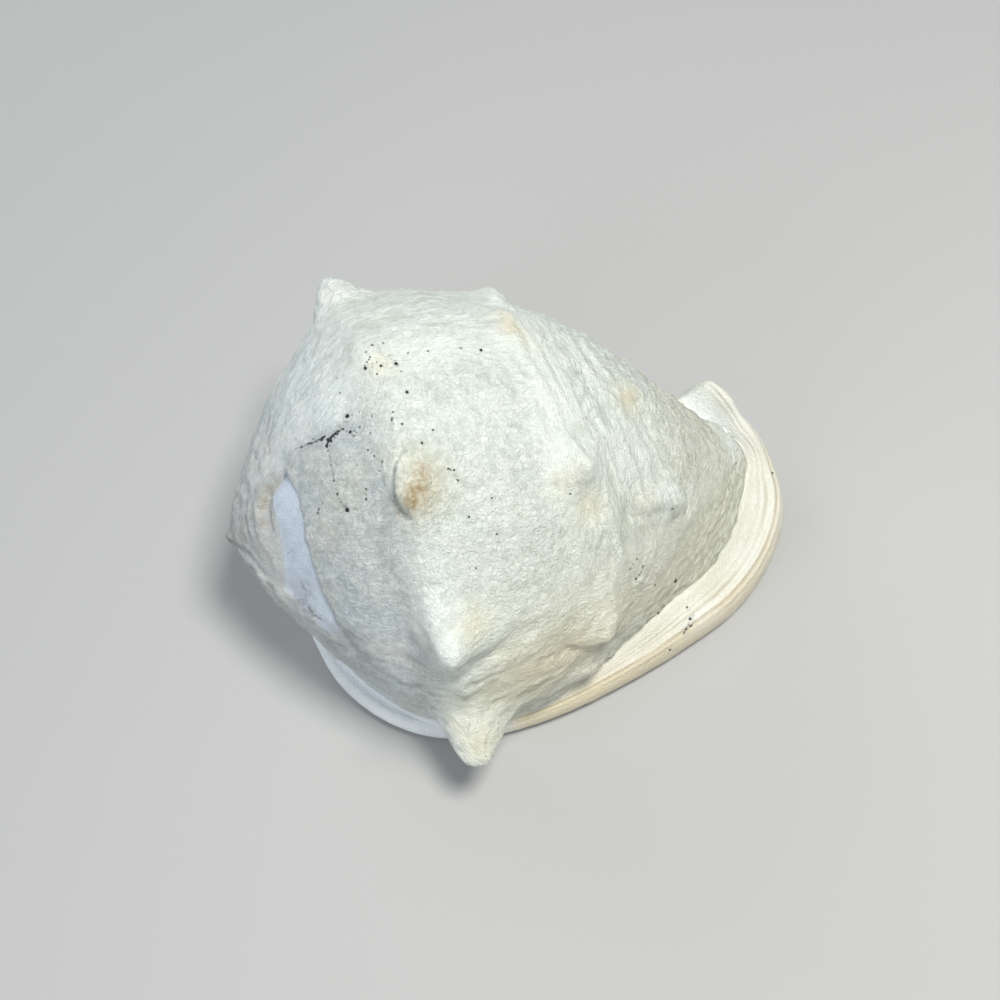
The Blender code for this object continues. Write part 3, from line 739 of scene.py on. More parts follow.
def crumpled(points, along, seed):
    """Crests and creases in three sizes, longer along one of the three directions."""
    total = 0.0
    for index, (size, share) in enumerate(CRUMPLE_LAYERS):
        stretch = CRUMPLE_STRETCH if along >= 0 else 1.0
        long = np.where(np.arange(3) == along, stretch, 1.0)
        shape = creased if index == 1 else crested
        total = total + share * shape(points, size * long, seed + index)
    return total


def camera_axes():
    """The photograph's right, up and backward directions and the camera's place."""
    back = np.array([0.0, -math.cos(PHOTO_ELEVATION), math.sin(PHOTO_ELEVATION)])
    right = np.array([1.0, 0.0, 0.0])
    up = np.cross(back, right)
    turned_right = right * math.cos(PHOTO_ROLL) - up * math.sin(PHOTO_ROLL)
    turned_up = right * math.sin(PHOTO_ROLL) + up * math.cos(PHOTO_ROLL)
    return turned_right, turned_up, back, PHOTO_TARGET + back * PHOTO_DISTANCE


def on_shell(pixels, net, facing):
    """Where sight lines through the photograph's pixels meet the side that the camera sees."""
    right, up, back, eye = camera_axes()
    points, normal = net.reshape(-1, 3), facing.reshape(-1, 3)
    away = points - eye
    seen = np.sum(away * normal, axis=1) < 0
    points, normal, away = points[seen], normal[seen], away[seen]
    depth = -away @ back
    middle = PHOTO_SIZE / 2
    across = middle + PHOTO_FOCAL_PIXELS * (away @ right) / depth
    down = middle - PHOTO_FOCAL_PIXELS * (away @ up) / depth
    found = []
    for pixel_across, pixel_down in pixels:
        miss = np.hypot(across - pixel_across, down - pixel_down)
        near = miss < max(5.0, miss.min() + 1)
        front = near & (depth < depth[near].min() + 12)
        best = np.argmin(np.where(front, miss, np.inf))
        ray = right * (pixel_across - middle) - up * (pixel_down - middle)
        ray = ray / PHOTO_FOCAL_PIXELS - back
        facing_ray = ray @ normal[best]
        on_ray = eye + ray * (away[best] @ normal[best]) / facing_ray
        found.append(on_ray if facing_ray < -0.2 else points[best])
    return np.array(found)


def from_segment(points, start, end):
    """Vector to each point from the nearest point of the segment between start and end."""
    step = end - start
    share = np.clip((points - start) @ step / (step @ step), 0, 1)
    return points - start - share[..., None] * step


def folds(net, facing):
    """Height of all folds: a bell curve of the distance from each fold's line."""
    total = np.zeros(net.shape[:2])
    for height, half_width, pixels in FOLDS:
        line = on_shell(pixels, net, facing)
        nearest = np.full(net.shape[:2], np.inf)
        for start, end in zip(line[:-1], line[1:]):
            gap = from_segment(net, start, end)
            nearest = np.minimum(nearest, np.linalg.norm(gap, axis=-1))
        total += height * np.exp(-(nearest / half_width)**2)
    return total


def bells(places, net, facing):
    """Sum of bell curves of the distance from each place, with its reach and its height."""
    centres = on_shell([place[:2] for place in places], net, facing)
    total = np.zeros(net.shape[:2])
    for centre, (_, _, reach, height) in zip(centres, places):
        total += height * np.exp(-np.sum((net - centre)**2, axis=-1) / reach**2)
    return total


def stain(places, net, facing):
    """The stains' strength: their bell curves added up, at most 1."""
    return np.clip(bells(places, net, facing), 0, 1)


def to_borings(net, facing):
    """Vector from the nearest boring's centre over its radius, and 1 near a boring."""
    centres = on_shell([place[:2] for place in BORINGS], net, facing)
    nearest = np.full(net.shape[:2], np.inf)
    offset = np.full(net.shape, FAR_AWAY)
    for centre, (_, _, radius) in zip(centres, BORINGS):
        gap = net - centre
        distance = np.linalg.norm(gap, axis=-1)
        closer = distance < nearest
        nearest = np.where(closer, distance, nearest)
        offset = np.where(closer[..., None], gap / radius, offset)
    return offset, 1 - ease(*BORING_FADE, nearest)


def to_cracks(net, facing):
    """Vector from the nearest crack's line over its half width, and its strength near it."""
    nearest = np.full(net.shape[:2], np.inf)
    power = np.zeros(net.shape[:2])
    offset = np.full(net.shape, FAR_AWAY)
    for half_width, strength, pixels in CRACKS:
        line = on_shell(pixels, net, facing)
        for start, end in zip(line[:-1], line[1:]):
            gap = from_segment(net, start, end)
            distance = np.linalg.norm(gap, axis=-1)
            closer = distance < nearest
            nearest = np.where(closer, distance, nearest)
            power = np.where(closer, strength, power)
            offset = np.where(closer[..., None], gap / half_width, offset)
    return offset, power * (1 - ease(*CRACK_FADE, nearest))


def zone_masks(net, place, ends):
    """Shares from 0 to 1 that say where each part of the shell's finish lies.

    Each is a product of eased steps in the place between the guide rings, the share of the
    way round, the distance along the axis or the angle round it. Along is that distance at
    the lip's scale, and noise makes some of the borders waver.
    """
    _, edge, underside, _ = ends
    share = np.broadcast_to(np.arange(net.shape[1]) / net.shape[1], net.shape[:2])
    x, radius, angle = round_axis(net)
    angle = upright(angle)
    along = x / growth(angle)
    skin_edge = through(SKIN_EDGE, share) + waves(net, *SKIN_EDGE_WAVER)
    past_root = ease(-ROOT_FADE, ROOT_FADE, place - skin_edge)
    on_body = 1 - past_root
    bare = bare_share(x, radius, angle, net)
    coiled = ease(*COILED_ALONG, x + waves(net, *COILED_WAVER)) * ease(*COILED_ANGLE, angle)
    far = ease(*FAR_ANGLE, angle) * ease(*FAR_ALONG, along)
    low = (1 - ease(*LOW_ANGLE, angle)) * ease(*LOW_ALONG, x)
    # Painted shade over the spire side's slope, short of the shoulder.
    painted_shade = ease(*PAINTED_SHADE_START, along) * (1 - ease(*PAINTED_SHADE_END, along)) * ease(*PAINTED_SHADE_LOW, angle)
    painted_shade = painted_shade * (1 - ease(*PAINTED_SHADE_TOP, angle + waves(net, *PAINTED_SHADE_WAVER)))
    warm = ease(*WARM_ALONG, x) * (1 - ease(*WARM_ANGLE, angle))
    on_lip = ease(*LIP_START, share) * (1 - ease(*LIP_END, share))
    on_back = ease(*LIP_END, share) * (1 - ease(*BACK_END, share))
    beside_lip = ease(*EDGING_START, share) * (1 - ease(*EDGING_END, share))
    return {
        "lip": past_root * on_lip * (1 - ease(edge + 3, edge + 6, place)),
        "back": past_root * on_back,
        "root": past_root,
        "under": ease(edge - 1.0, edge + 1.0, place),
        "throat": ease(underside - 3.5, underside - 0.5, place),
        "hollow": ease(underside - 0.5, underside + 1.5, place),
        "bare": bare * on_body,
        "strip": bare * ease(-0.8, 0.8, x - through(BARE_INNER, angle)) * on_body,
        "spire": (1 - ease(*SPIRE_END, along)) * on_body,
        "cool": (1 - ease(*COOL_END, along)) * on_body,
        "warm": np.maximum(warm, 0.8 * ease(*WARM_CANAL, x)),
        "coiled": coiled * on_body,
        "axial": np.maximum(far, low) * on_body,
        "painted_shade": painted_shade * on_body,
        "edging": ease(*EDGING_PLACE, place) * on_body * beside_lip,
        "x": x, "radius": radius, "angle": angle, "share": share, "along": along}


def bare_share(x, radius, angle, net):
    """1 where the outer layer is broken away beside the spire, with a ragged edge."""
    ragged = waves(net, *BREAK_RAGGED) + waves(net, *BREAK_WAVER)
    below_top = (through(BREAK_TOP, x) - angle) * np.radians(1) * np.maximum(radius, 8)
    inside = 2.2 * (through(BARE_OUTER, angle) - x)
    fading = ease(*BREAK_ANGLE, angle + waves(net, *BREAK_FADE_WAVER))
    return ease(-0.5, 0.5, np.minimum(below_top, inside) + ragged) * fading


def crumples(net, run, zones):
    """Crumples from 0 to 1, plain or running round the whorl or along the axis by zone."""
    bend = CRUMPLE_BEND * np.stack([noise(net, 11.0, seed) for seed in (21, 22, 23)], -1)
    coiled, axial = zones["coiled"], zones["axial"]
    plain = crumpled(net + bend, -1, 1) * (1 - coiled) * (1 - axial)
    round_whorl = crumpled(run + bend, 2, 4) * coiled
    return plain + round_whorl + crumpled(run + bend, 0, 30) * axial * (1 - coiled)


def spiral_ridges(net, run, zones):
    """Height of the ridges round the body: bell curves of the distance along the axis.

    Noise shifts them along the axis and makes each one's height waver round the whorl.
    """
    at = zones["along"] + waves(net, *RIDGE_SHIFT) + waves(net, *RIDGE_WAVER)
    total = np.zeros(net.shape[:2])
    for ridge, lift, width in SPIRAL_RIDGES:
        wavy = 0.7 + 0.7 * noise(run, RIDGE_BREAKS, ridge)
        total += lift * wavy * np.exp(-(np.abs(at - ridge) / width)**1.4)
    return total * ease(*RIDGES_START, zones["x"]) * ease(*RIDGES_ANGLE, zones["angle"])


def spire_steps(zones):
    """Height of the early whorls: a sawtooth in the logarithm of the distance along the axis.

    Each turn back towards the apex is one tooth, lower by the growth in a turn. A row of
    beads, a cosine of the angle, runs along it.
    """
    coils = np.log(np.maximum(zones["along"], 0.5) / SUTURE) / math.log(GROWTH_PER_TURN)
    step = coils - np.floor(coils)
    on_spire = zones["spire"] * (1 - ease(-0.02, 0.05, coils))
    size = np.clip(zones["along"] / SUTURE, 0.15, 1) * on_spire
    sawtooth = (0.5 - step) * (1 - ease(0.9, 1.0, step)) * (1 - np.exp(-step / 0.05))
    beads = np.cos(np.radians(zones["angle"]) * BEADS_ROUND + 2)
    beads = beads * np.exp(-((step - BEAD_PLACE) / BEAD_WIDTH)**2)
    height = SPIRE_STEP * size * sawtooth * (1 - 0.8 * zones["strip"])
    return height + BEAD_HEIGHT * size * beads * (1 - zones["strip"])


def lip_grooves(place, share):
    """Depth of the grooves along the lip: bell curves of the place, broken up by noise."""
    still = share * 0
    drift = 0.08 * noise(np.stack([share * 12, still, still], -1), 1.0, 14)
    total = np.zeros(place.shape)
    for ring, depth, width in LIP_GROOVES:
        broken = 0.7 + 0.6 * noise(np.stack([share * 24, place, still], -1), 1.0, 15 + ring)
        bell = np.exp(-((place + drift - ring) / width)**2)
        total += depth * np.clip(broken, 0.1, 1.2) * bell
    return total * (1 - 0.5 * ease(*SHALLOW_GROOVES, share))


def skin_relief(net, place, ends, zones):
    """Height of the surface's own relief in mm along the normals, the crumples from 0 to 1,
    and the share of a full groove.

    The open body has crumples, waves and spiral ridges, and the spire its steps. The broken
    layer's step, the skin's raised edge beside the lip, a fill in the valley at the back and
    the lip's grooves are added. The flat resting ring and the hollow stay smooth.
    """
    edge = ends[1]
    x, angle, share = zones["x"], zones["angle"], zones["share"]
    open_body = 1 - zones["root"]
    rough = open_body * (1 - BARE_TAKES * zones["bare"])
    run = np.stack([x, zones["radius"], np.radians(angle) * TURN_RADIUS], -1)
    lumps = crumples(net, run, zones)
    calmer = 1 - FAR_SIDE_TAKES * ease(*CALM_ANGLE, angle)
    quiet = zones["cool"] * (1 - ease(*QUIET_ANGLE, angle))
    tall = CRUMPLE_HEIGHT - QUIET_TAKES * quiet
    tall += COILED_ADDS * zones["coiled"] + AXIAL_ADDS * zones["axial"]
    height = tall * calmer * (lumps - 0.5) * rough
    height += waves(net, *WIDE_WAVES) * open_body + waves(net, *CLOSE_WAVES) * rough
    height += spiral_ridges(net, run, zones) * rough * calmer
    height -= CANAL_SINK * ease(*CANAL_SINKS, x) * rough
    by_lip = np.stack([place * 3.4, share * 26, 0 * x], -1)
    height += waves(by_lip, *EDGING_WAVES) * zones["edging"]
    height += spire_steps(zones) - BREAK_STEP * zones["bare"]
    thin = ease(*THIN_EDGE_START, share) * (1 - ease(*THIN_EDGE_END, share))
    skin_edge = SKIN_EDGE_STEP * (1 - THIN_EDGE_TAKES * thin)
    height += skin_edge * open_body * ease(*SKIN_EDGE_PLACE, place)
    fill, valley, width = BACK_FILL
    height += fill * zones["back"] * np.exp(-((place - valley) / width)**2)
    grooves = lip_grooves(place, share)
    height -= grooves * zones["lip"]
    height += waves(net, *LIP_WAVES) * zones["root"] * (1 - zones["under"])
    collar = zones["root"] * ease(*COLLAR_ALONG, x) * ease(10, 25, net[..., 1])
    height += waves(net, *COLLAR_WAVES) * collar
    height += waves(net, *SHIELD_WAVES) * zones["under"] * (1 - zones["throat"])
    resting = ease(edge + 0.5, edge + 1.2, place) * (1 - ease(edge + 3.2, edge + 4.0, place))
    height *= (1 - resting) * (1 - zones["hollow"])
    groove_share = np.clip(grooves / FULL_GROOVE, 0, 1) * zones["lip"]
    return height, 0.5 + (lumps - 0.5) * rough, groove_share


def closed(values):
    """The net's values as a vertex list with one vertex at each pole."""
    flat = values[1:-1].reshape((-1,) + values.shape[2:])
    return np.concatenate([values[:1, 0], flat, values[-1:, 0]])


def net_faces(rings, columns):
    """Quads between neighbouring rings and triangles round the two poles, facing outwards."""
    column = np.arange(columns)
    beside = (column + 1) % columns
    here = 1 + columns * np.arange(rings - 3)[:, None]
    below = here + columns
    quads = np.stack([here + column, here + beside, below + beside, below + column], -1)
    final = 1 + (rings - 3) * columns
    last = 1 + (rings - 2) * columns
    top = np.stack([0 * column, 1 + beside, 1 + column], -1)
    bottom = np.stack([0 * column + last, final + column, final + beside], -1)
    return quads.reshape(-1, 4).tolist() + top.tolist() + bottom.tolist()


def add_attribute(mesh, name, values):
    """Store one number, a vector or four shares for each vertex."""
    kinds = {1: ("FLOAT", "value"), 3: ("FLOAT_VECTOR", "vector"), 4: ("FLOAT_COLOR", "color")}
    width = 1 if values.ndim == 2 else values.shape[-1]
    kind, field = kinds[width]
    attribute = mesh.attributes.new(name, kind, "POINT")
    attribute.data.foreach_set(field, closed(values).astype(np.float32).ravel())


def shell_mesh():
    """The shell's skin with its relief, and the shares that its material reads."""
    solid, _, _ = shell_net(SOLID_KNOBS, *SOLID_NET)
    shift = (solid.min((0, 1)) + solid.max((0, 1))) / 2 * (1, 1, 0)
    net, place, ends = shell_net(KNOBS, *SKIN_NET)
    net = bridged(net, place)
    facing = normals(net)
    zones = zone_masks(net, place, ends)
    height, lumps, grooves = skin_relief(net, place, ends, zones)
    height += folds(net - shift, facing) * (1 - ease(ends[0] - 1.0, ends[0], place))
    height += bells(SWELLS, net - shift, facing) * (1 - zones["under"])
    net = net + facing * height[..., None]
    net[..., 2] = np.maximum(net[..., 2], 0)
    net[0], net[-1] = net[0].mean(0), net[-1].mean(0)
    facing = normals(net)
    net = net - shift
    mesh = bpy.data.meshes.new("helmet_shell_skin")
    mesh.from_pydata((closed(net) * MILLIMETRE).tolist(), [], net_faces(*net.shape[:2]))
    mesh.shade_smooth()
    boring, near_boring = to_borings(net, facing)
    crack, near_crack = to_cracks(net, facing)
    share, angle = zones["share"], zones["angle"]
    roll_tan = ease(*OUTER_ROLL, place) * ease(*ROLL_TAN_START, share)
    tan = zones["lip"] * np.minimum(0.4 * ease(*LIP_TAN_START, share) + 0.9 * roll_tan, 1)
    speckled = ease(*SPECKLED_ALONG, zones["x"]) * ease(*SPECKLED_ANGLE, angle)
    speckled = speckled * (1 - zones["under"])
    white_and_highlight, brown_and_step_shade, cream, smudge_and_shade, pink = (
        stain(places, net, facing)
        for places in (WHITE_STAINS_AND_HIGHLIGHTS, BROWN_STAINS_AND_STEP_SHADE, CREAM_STAINS, SMUDGES_AND_SHADE, PINK_STAINS))
    shares = {
        "near": (near_boring, near_crack, grooves, lumps),
        "zones": (zones["lip"], zones["back"], zones["under"], zones["hollow"]),
        "skin": (zones["strip"], zones["spire"], tan, zones["throat"]),
        "tones": (zones["cool"], zones["warm"], white_and_highlight, zones["root"]),
        "marks": (brown_and_step_shade, cream, smudge_and_shade, pink),
        "flow": (zones["coiled"], zones["axial"], speckled, zones["edging"]),
        "run": (zones["x"], np.radians(angle) * TURN_RADIUS, place),
        "band": (place, share, 0 * place)}
    for name, values in shares.items():
        add_attribute(mesh, name, np.stack(values, -1))
    add_attribute(mesh, "boring", boring)
    add_attribute(mesh, "crack", crack)
    add_attribute(mesh, "painted_shade", zones["painted_shade"])
    return mesh


def feed(tree, socket, value):
    """Link another node's socket to this one, or set it; a colour may have three shares."""
    if isinstance(value, bpy.types.NodeSocket):
        tree.links.new(value, socket)
    elif socket.type == "RGBA":
        socket.default_value = (*value[:3], 1.0)
    else:
        socket.default_value = value


def add(tree, kind, inputs=None, **settings):
    """A new node with its settings, and its sockets linked or set."""
    node = tree.nodes.new("ShaderNode" + kind)
    for name, value in settings.items():
        setattr(node, name, value)
    for key, value in (inputs or {}).items():
        feed(tree, node.inputs[key], value)
    return node


def maths(tree, operation, *values):
    """The result of one Math node."""
    return add(tree, "Math", dict(enumerate(values)), operation=operation).outputs[0]


def vectors(tree, operation, inputs):
    """The vector that one Vector Math node gives."""
    return add(tree, "VectorMath", inputs, operation=operation).outputs["Vector"]


def cloudy(tree, where, scale, detail, roughness=0.5):
    """A Noise Texture at a place."""
    return add(tree, "TexNoise", {"Vector": where, "Scale": scale, "Detail": detail,
                                  "Roughness": roughness}).outputs


def one_less(tree, share):
    """One less the share."""
    return maths(tree, "SUBTRACT", 1.0, share)


def mixed(tree, share, first, second, blend="MIX"):
    """First colour turning into the second as the share goes from 0 to 1."""
    return add(tree, "Mix", {0: share, 6: first, 7: second}, data_type="RGBA",
               blend_type=blend).outputs[2]


def ramp(tree, value, low, high):
    """0 below low, 1 above high, smooth between."""
    node = add(tree, "MapRange", {"Value": value, "From Min": low, "From Max": high},
               interpolation_type="SMOOTHSTEP")
    return node.outputs["Result"]


def group(name, inputs, outputs):
    """An empty shader node group with named sockets."""
    tree = bpy.data.node_groups.new(name, "ShaderNodeTree")
    for label, kind in inputs:
        tree.interface.new_socket(label, in_out="INPUT", socket_type="NodeSocket" + kind)
    for label, kind in outputs:
        tree.interface.new_socket(label, in_out="OUTPUT", socket_type="NodeSocket" + kind)
    return tree, tree.nodes.new("NodeGroupInput").outputs, tree.nodes.new("NodeGroupOutput").inputs


def placed(tree, which, values, *outputs):
    """The named outputs of a group node with these inputs."""
    node = add(tree, "Group", values, node_tree=which)
    return node.outputs[outputs[0]] if len(outputs) == 1 else [node.outputs[key] for key in outputs]


def wrinkles_group():
    """Fine crumpled skin: cloudy noise on small plates, with a broken net of hair creases.

    A noise bends the position, which is stretched first. The plates' edges show where a wider
    noise lets them; elsewhere finer creases run where a small noise crosses its middle value.
    """
    tree, given, result = group("wrinkles", [("Position", "Vector"), ("Stretch", "Vector")],
                                [("Height", "Float"), ("Creases", "Float")])
    start = vectors(tree, "MULTIPLY", {0: given["Position"], 1: given["Stretch"]})
    bend = cloudy(tree, start, 0.8, 3.0)["Color"]
    bend = vectors(tree, "SUBTRACT", {0: bend, 1: (0.5, 0.5, 0.5)})
    bend = vectors(tree, "SCALE", {0: bend, "Scale": 1.1})
    at = vectors(tree, "ADD", {0: start, 1: bend})
    plates = add(tree, "TexVoronoi", {"Vector": at, "Scale": 1.5}, feature="DISTANCE_TO_EDGE",
                 voronoi_dimensions="2D")
    edge = plates.outputs["Distance"]
    cloud = cloudy(tree, at, 2.2, 6.0, 0.72)["Fac"]
    fine = cloudy(tree, at, 2.4, 3.0, 0.6)["Fac"]
    off_middle = maths(tree, "ABSOLUTE", maths(tree, "SUBTRACT", fine, 0.5))
    shown = ramp(tree, cloudy(tree, at, 0.5, 3.0)["Fac"], 0.46, 0.64)
    net = maths(tree, "MULTIPLY", one_less(tree, ramp(tree, edge, 0.0, 0.085)), shown)
    hairs = maths(tree, "MULTIPLY", one_less(tree, ramp(tree, off_middle, 0.0, 0.035)),
                  one_less(tree, shown))
    creases = maths(tree, "MAXIMUM", net, maths(tree, "MULTIPLY", hairs, 0.75))
    height = maths(tree, "MULTIPLY_ADD", ramp(tree, edge, 0.0, 0.42), 0.10,
                   maths(tree, "MULTIPLY", cloud, 1.45))
    tree.links.new(maths(tree, "MULTIPLY_ADD", creases, -0.12, height), result["Height"])
    tree.links.new(creases, result["Creases"])
    return tree


def ragged_spot_group():
    """A spot where the vector is shorter than one, with a ragged or broken edge, and its halo."""
    tree, given, result = group(
        "ragged_spot",
        [("Offset", "Vector"), ("Near", "Float"), ("Position", "Vector"),
         ("Grains per metre", "Float"), ("Raggedness", "Float")],
        [("Spot", "Float"), ("Halo", "Float")])
    length = add(tree, "VectorMath", {0: given["Offset"]}, operation="LENGTH").outputs["Value"]
    grains = cloudy(tree, given["Position"], given["Grains per metre"], 2.0)["Fac"]
    wobble = maths(tree, "SUBTRACT", grains, 0.5)
    ragged = maths(tree, "MULTIPLY_ADD", wobble, given["Raggedness"], length)
    near = ramp(tree, given["Near"], 0.3, 0.7)
    for name, low, high in (("Spot", 0.75, 1.15), ("Halo", 0.8, 3.2)):
        inside = one_less(tree, ramp(tree, ragged, low, high))
        tree.links.new(maths(tree, "MULTIPLY", inside, near), result[name])
    return tree


def mottle_group():
    """Soft cloudy patches from 0 to 1."""
    tree, given, result = group("mottle", [("Position", "Vector"), ("Patches per metre", "Float")],
                                [("Patches", "Float")])
    cloud = cloudy(tree, given["Position"], given["Patches per metre"], 5.0, 0.6)["Fac"]
    tree.links.new(ramp(tree, cloud, 0.34, 0.66), result["Patches"])
    return tree


def shell_material():
    """Bleached, crumpled lime with creases, stains, borings, cracks and a smoother lip.

    The chalky skin's tones are laid over each other first, with painted shade on the spire side,
    painted half-shade beside the lip, painted shade in the crumples' hollows and creases and a
    painted highlight on their crests; then the lip, shield and hollow, with painted shade in the
    lip's grooves; then the stains, some of them painted shade and painted highlight; and last the
    painted shade inside the borings and cracks. Wrinkles, grain and marks raise the normal.
    """
    material = bpy.data.materials.new("bleached_shell_skin")
    material.use_nodes = True
    tree = material.node_tree
    shader = tree.nodes["Principled BSDF"]
    wrinkles, spots, mottle = wrinkles_group(), ragged_spot_group(), mottle_group()
    position = add(tree, "TexCoord").outputs["Object"]

    def shares(name):
        attribute = add(tree, "Attribute", attribute_name=name)
        split = add(tree, "SeparateColor", {0: attribute.outputs["Color"]})
        return (*split.outputs[:3], attribute.outputs["Alpha"])

    def vector(name):
        return add(tree, "Attribute", attribute_name=name).outputs["Vector"]

    def times(value, factor):
        return maths(tree, "MULTIPLY", value, factor)

    def sum_of(value, factor, other):
        return maths(tree, "MULTIPLY_ADD", value, factor, other)

    def larger(first, *others):
        for other in others:
            first = maths(tree, "MAXIMUM", first, other)
        return first

    def kept(value, *shares_left):
        for share in shares_left:
            value = times(value, one_less(tree, share))
        return value

    def wrinkled(where, stretch):
        return placed(tree, wrinkles, {"Position": where, "Stretch": stretch}, "Height", "Creases")

    def patched(often):
        return placed(tree, mottle, {"Position": position, "Patches per metre": often}, "Patches")

    def marked(name, near, values):
        inputs = {"Offset": vector(name), "Near": near, "Position": position, **values}
        return placed(tree, spots, inputs, "Spot", "Halo")

    near_boring, near_crack, grooves, lumps = shares("near")
    lip, back, under, hollow = shares("zones")
    strip, spire, tan, throat = shares("skin")
    cool, warm, white_and_highlight, root = shares("tones")
    brown_and_step_shade, cream, smudge_and_shade, pink = shares("marks")
    coiled, axial, speckled, edging = shares("flow")
    painted_shade = add(tree, "Attribute", attribute_name="painted_shade").outputs["Fac"]
    clouds, patches, flecks, grain = (patched(often) for often in (CLOUDS, PATCHES, FLECKS, GRAIN))

    # Each kind of wrinkle shows in its own part of the skin.
    stretch = add(tree, "Mix", {0: root, 4: EDGING_WRINKLES, 5: LIP_LINES}, data_type="VECTOR")
    lines, line_creases = wrinkled(vector("band"), stretch.outputs[1])
    kinds = [(wrinkled(vector("run"), PLAIN_WRINKLES), kept(1.0, coiled, axial, edging)),
             (wrinkled(vector("run"), COILED_WRINKLES), times(coiled, one_less(tree, edging))),
             (wrinkled(vector("run"), AXIAL_WRINKLES), times(axial, kept(1.0, coiled, edging))),
             ((lines, line_creases), edging)]
    plain_creases = kinds[0][0][1]
    skin, creases = 0.0, 0.0
    for (height, net), share in kinds:
        skin = sum_of(height, share, skin)
        creases = sum_of(net, share, creases)

    # Painted shade in the crumples' hollows and creases and a painted highlight on their crests;
    # the speckles by the canal are the shell's own grey.
    low = one_less(tree, ramp(tree, lumps, 0.15, 0.5))
    high = ramp(tree, lumps, 0.5, 0.85)
    shade_and_speckles = larger(times(low, 0.4), times(creases, 0.7), times(times(patches, 0.5), speckled))
    colour = mixed(tree, clouds, *CHALK)
    # Painted light in the skin: a bluish tint on the spire side that is partly painted shade,
    # painted shade on the slope below the shoulder, the lip side's cream darkened as painted
    # half-shade, painted highlights on the crests and among the pale stains.
    for share, strength, tone in [
            (cool, 0.8, mixed(tree, clouds, *COOL_CHALK_AND_BLUE_SHADE)),
            (painted_shade, 0.75, mixed(tree, clouds, *PAINTED_SHADE_CHALK)),
            (warm, 0.8, WARM_CHALK_AND_HALF_SHADE), (edging, 0.6, LIP_SIDE_CHALK_AND_HALF_SHADE), (spire, 0.5, SPIRE_CHALK),
            (high, 0.3, CREST_HIGHLIGHT), (white_and_highlight, 0.7, STAIN_AND_HIGHLIGHT_WHITE), (patches, 0.2, PATCH_WHITE),
            (flecks, 0.35, FLECK_WHITE), (grain, 0.16, GRAIN_GREY)]:
        colour = mixed(tree, times(share, strength), colour, tone)
    colour = mixed(tree, shade_and_speckles, colour, SHADE_AND_SPECKLE_TINT, "MULTIPLY")

    ivory = mixed(tree, times(tan, 0.8), mixed(tree, clouds, *IVORY), LIP_TAN)
    # Painted shade in the lip's grooves and fine lines, by their depth.
    groove_shade = larger(times(grooves, 0.75), times(line_creases, 0.2))
    ivory = mixed(tree, groove_shade, ivory, GROOVE_SHADE_TINT, "MULTIPLY")
    # Soot and tan stains, with painted shade among them on the middle shoulder knob's spire-side
    # flank and beside the broken layer's step.
    sooty_and_shaded = times(smudge_and_shade, larger(ramp(tree, flecks, 0.25, 0.75), plain_creases))
    patchy = times(brown_and_step_shade, sum_of(flecks, 0.6, times(patches, 0.6)))
    for share, strength, tone in [
            (times(root, lip), 1.0, ivory),
            (back, 1.0, mixed(tree, patches, *BACK_ENAMEL)),
            (strip, 1.0, mixed(tree, patches, *STRIP_BLUE)),
            (under, 0.85, mixed(tree, clouds, *SHIELD_ENAMEL)),
            (throat, 0.7, THROAT_BROWN), (hollow, 0.5, HOLLOW_CREAM),
            (times(white_and_highlight, root), 0.8, LIP_WHITE), (cream, 0.5, CREAM), (patchy, 1.0, BROWN_AND_STEP_SHADE),
            (pink, 0.3, PINK), (sooty_and_shaded, 0.75, SOOT_AND_SHADE)]:
        colour = mixed(tree, times(share, strength), colour, tone)

    hole, halo = marked("boring", near_boring, BORING_EDGE)
    split, split_halo = marked("crack", near_crack, CRACK_EDGE)
    # The borings and cracks are only dented; their insides get painted shade.
    dark = larger(hole, split)
    colour = mixed(tree, times(larger(halo, split_halo), 0.22), colour, HALO_GREY)
    colour = mixed(tree, dark, colour, HOLE_SHADE_BLACK)
    tree.links.new(colour, shader.inputs["Base Color"])

    smooth = larger(root, strip)
    dull = sum_of(patches, PATCH_ROUGHNESS, ROUGHNESS)
    tree.links.new(sum_of(smooth, SMOOTH_TAKES, dull), shader.inputs["Roughness"])

    lift = times(skin, sum_of(one_less(tree, smooth), ROUGH_SHARE, SMOOTH_SHARE))
    on_lip = times(lines, lip)
    for height, share in [(on_lip, LIP_LINE_LIFT), (grain, GRAIN_LIFT), (dark, HOLE_LIFT)]:
        lift = sum_of(height, share, lift)
    bump = add(tree, "Bump", {"Height": lift, "Strength": BUMP_STRENGTH, "Distance": BUMP_HEIGHT})
    tree.links.new(bump.outputs["Normal"], shader.inputs["Normal"])
    return material


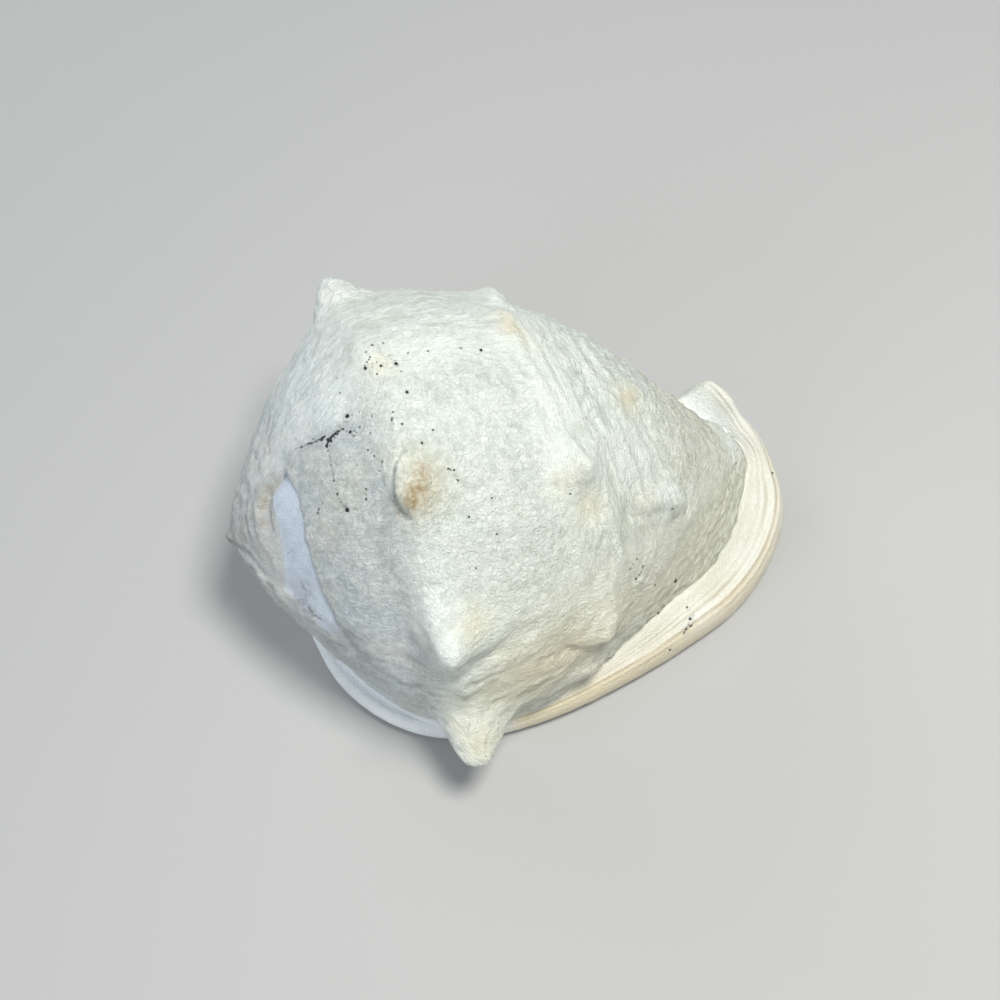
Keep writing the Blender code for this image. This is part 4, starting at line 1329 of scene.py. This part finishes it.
def add_camera():
    """The camera at the photograph's place, with its roll."""
    right, up, back, eye = camera_axes()
    data = bpy.data.cameras.new("photo_camera")
    data.sensor_width = SENSOR
    data.lens = PHOTO_FOCAL_PIXELS * SENSOR / PHOTO_SIZE
    camera = bpy.data.objects.new("photo_camera", data)
    turn = Matrix(np.stack([right, up, back], -1).tolist()).to_4x4()
    camera.matrix_world = Matrix.Translation((eye * MILLIMETRE).tolist()) @ turn
    bpy.context.scene.collection.objects.link(camera)
    bpy.context.scene.camera = camera


def add_light(name, place, size, power, colour):
    """A square soft light that points from its place to the shell, in metres."""
    data = bpy.data.lights.new(name, "AREA")
    data.size, data.energy, data.color = size, power, colour
    light = bpy.data.objects.new(name, data)
    light.location = place
    toward = Vector(LIGHT_TARGET) - Vector(place)
    light.rotation_euler = toward.to_track_quat("-Z", "Y").to_euler()
    bpy.context.scene.collection.objects.link(light)


def add_stage():
    """A pale floor, a soft key light, a cool and a warm fill, and a pale surround."""
    mesh = bpy.data.meshes.new("floor")
    half = FLOOR_HALF
    corners = [(-half, -half, 0), (half, -half, 0), (half, half, 0), (-half, half, 0)]
    mesh.from_pydata(corners, [], [(0, 1, 2, 3)])
    floor = bpy.data.objects.new("floor", mesh)
    paint = bpy.data.materials.new("floor_paint")
    paint.use_nodes = True
    shader = paint.node_tree.nodes["Principled BSDF"]
    shader.inputs["Base Color"].default_value = (*FLOOR_COLOUR, 1)
    shader.inputs["Roughness"].default_value = FLOOR_ROUGHNESS
    mesh.materials.append(paint)
    bpy.context.scene.collection.objects.link(floor)
    for light in LIGHTS:
        add_light(*light)
    world = bpy.data.worlds.new("pale_surround")
    world.use_nodes = True
    surround = world.node_tree.nodes["Background"]
    surround.inputs["Color"].default_value = (*SURROUND_COLOUR, 1)
    surround.inputs["Strength"].default_value = SURROUND_STRENGTH
    bpy.context.scene.world = world
    bpy.context.scene.view_settings.view_transform = "Standard"



add_camera()
shell = bpy.data.objects.new("helmet_shell_skin", shell_mesh())
shell.data.materials.append(shell_material())
bpy.context.scene.collection.objects.link(shell)
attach(shell, "root")
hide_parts("helmet_shell")
add_stage()
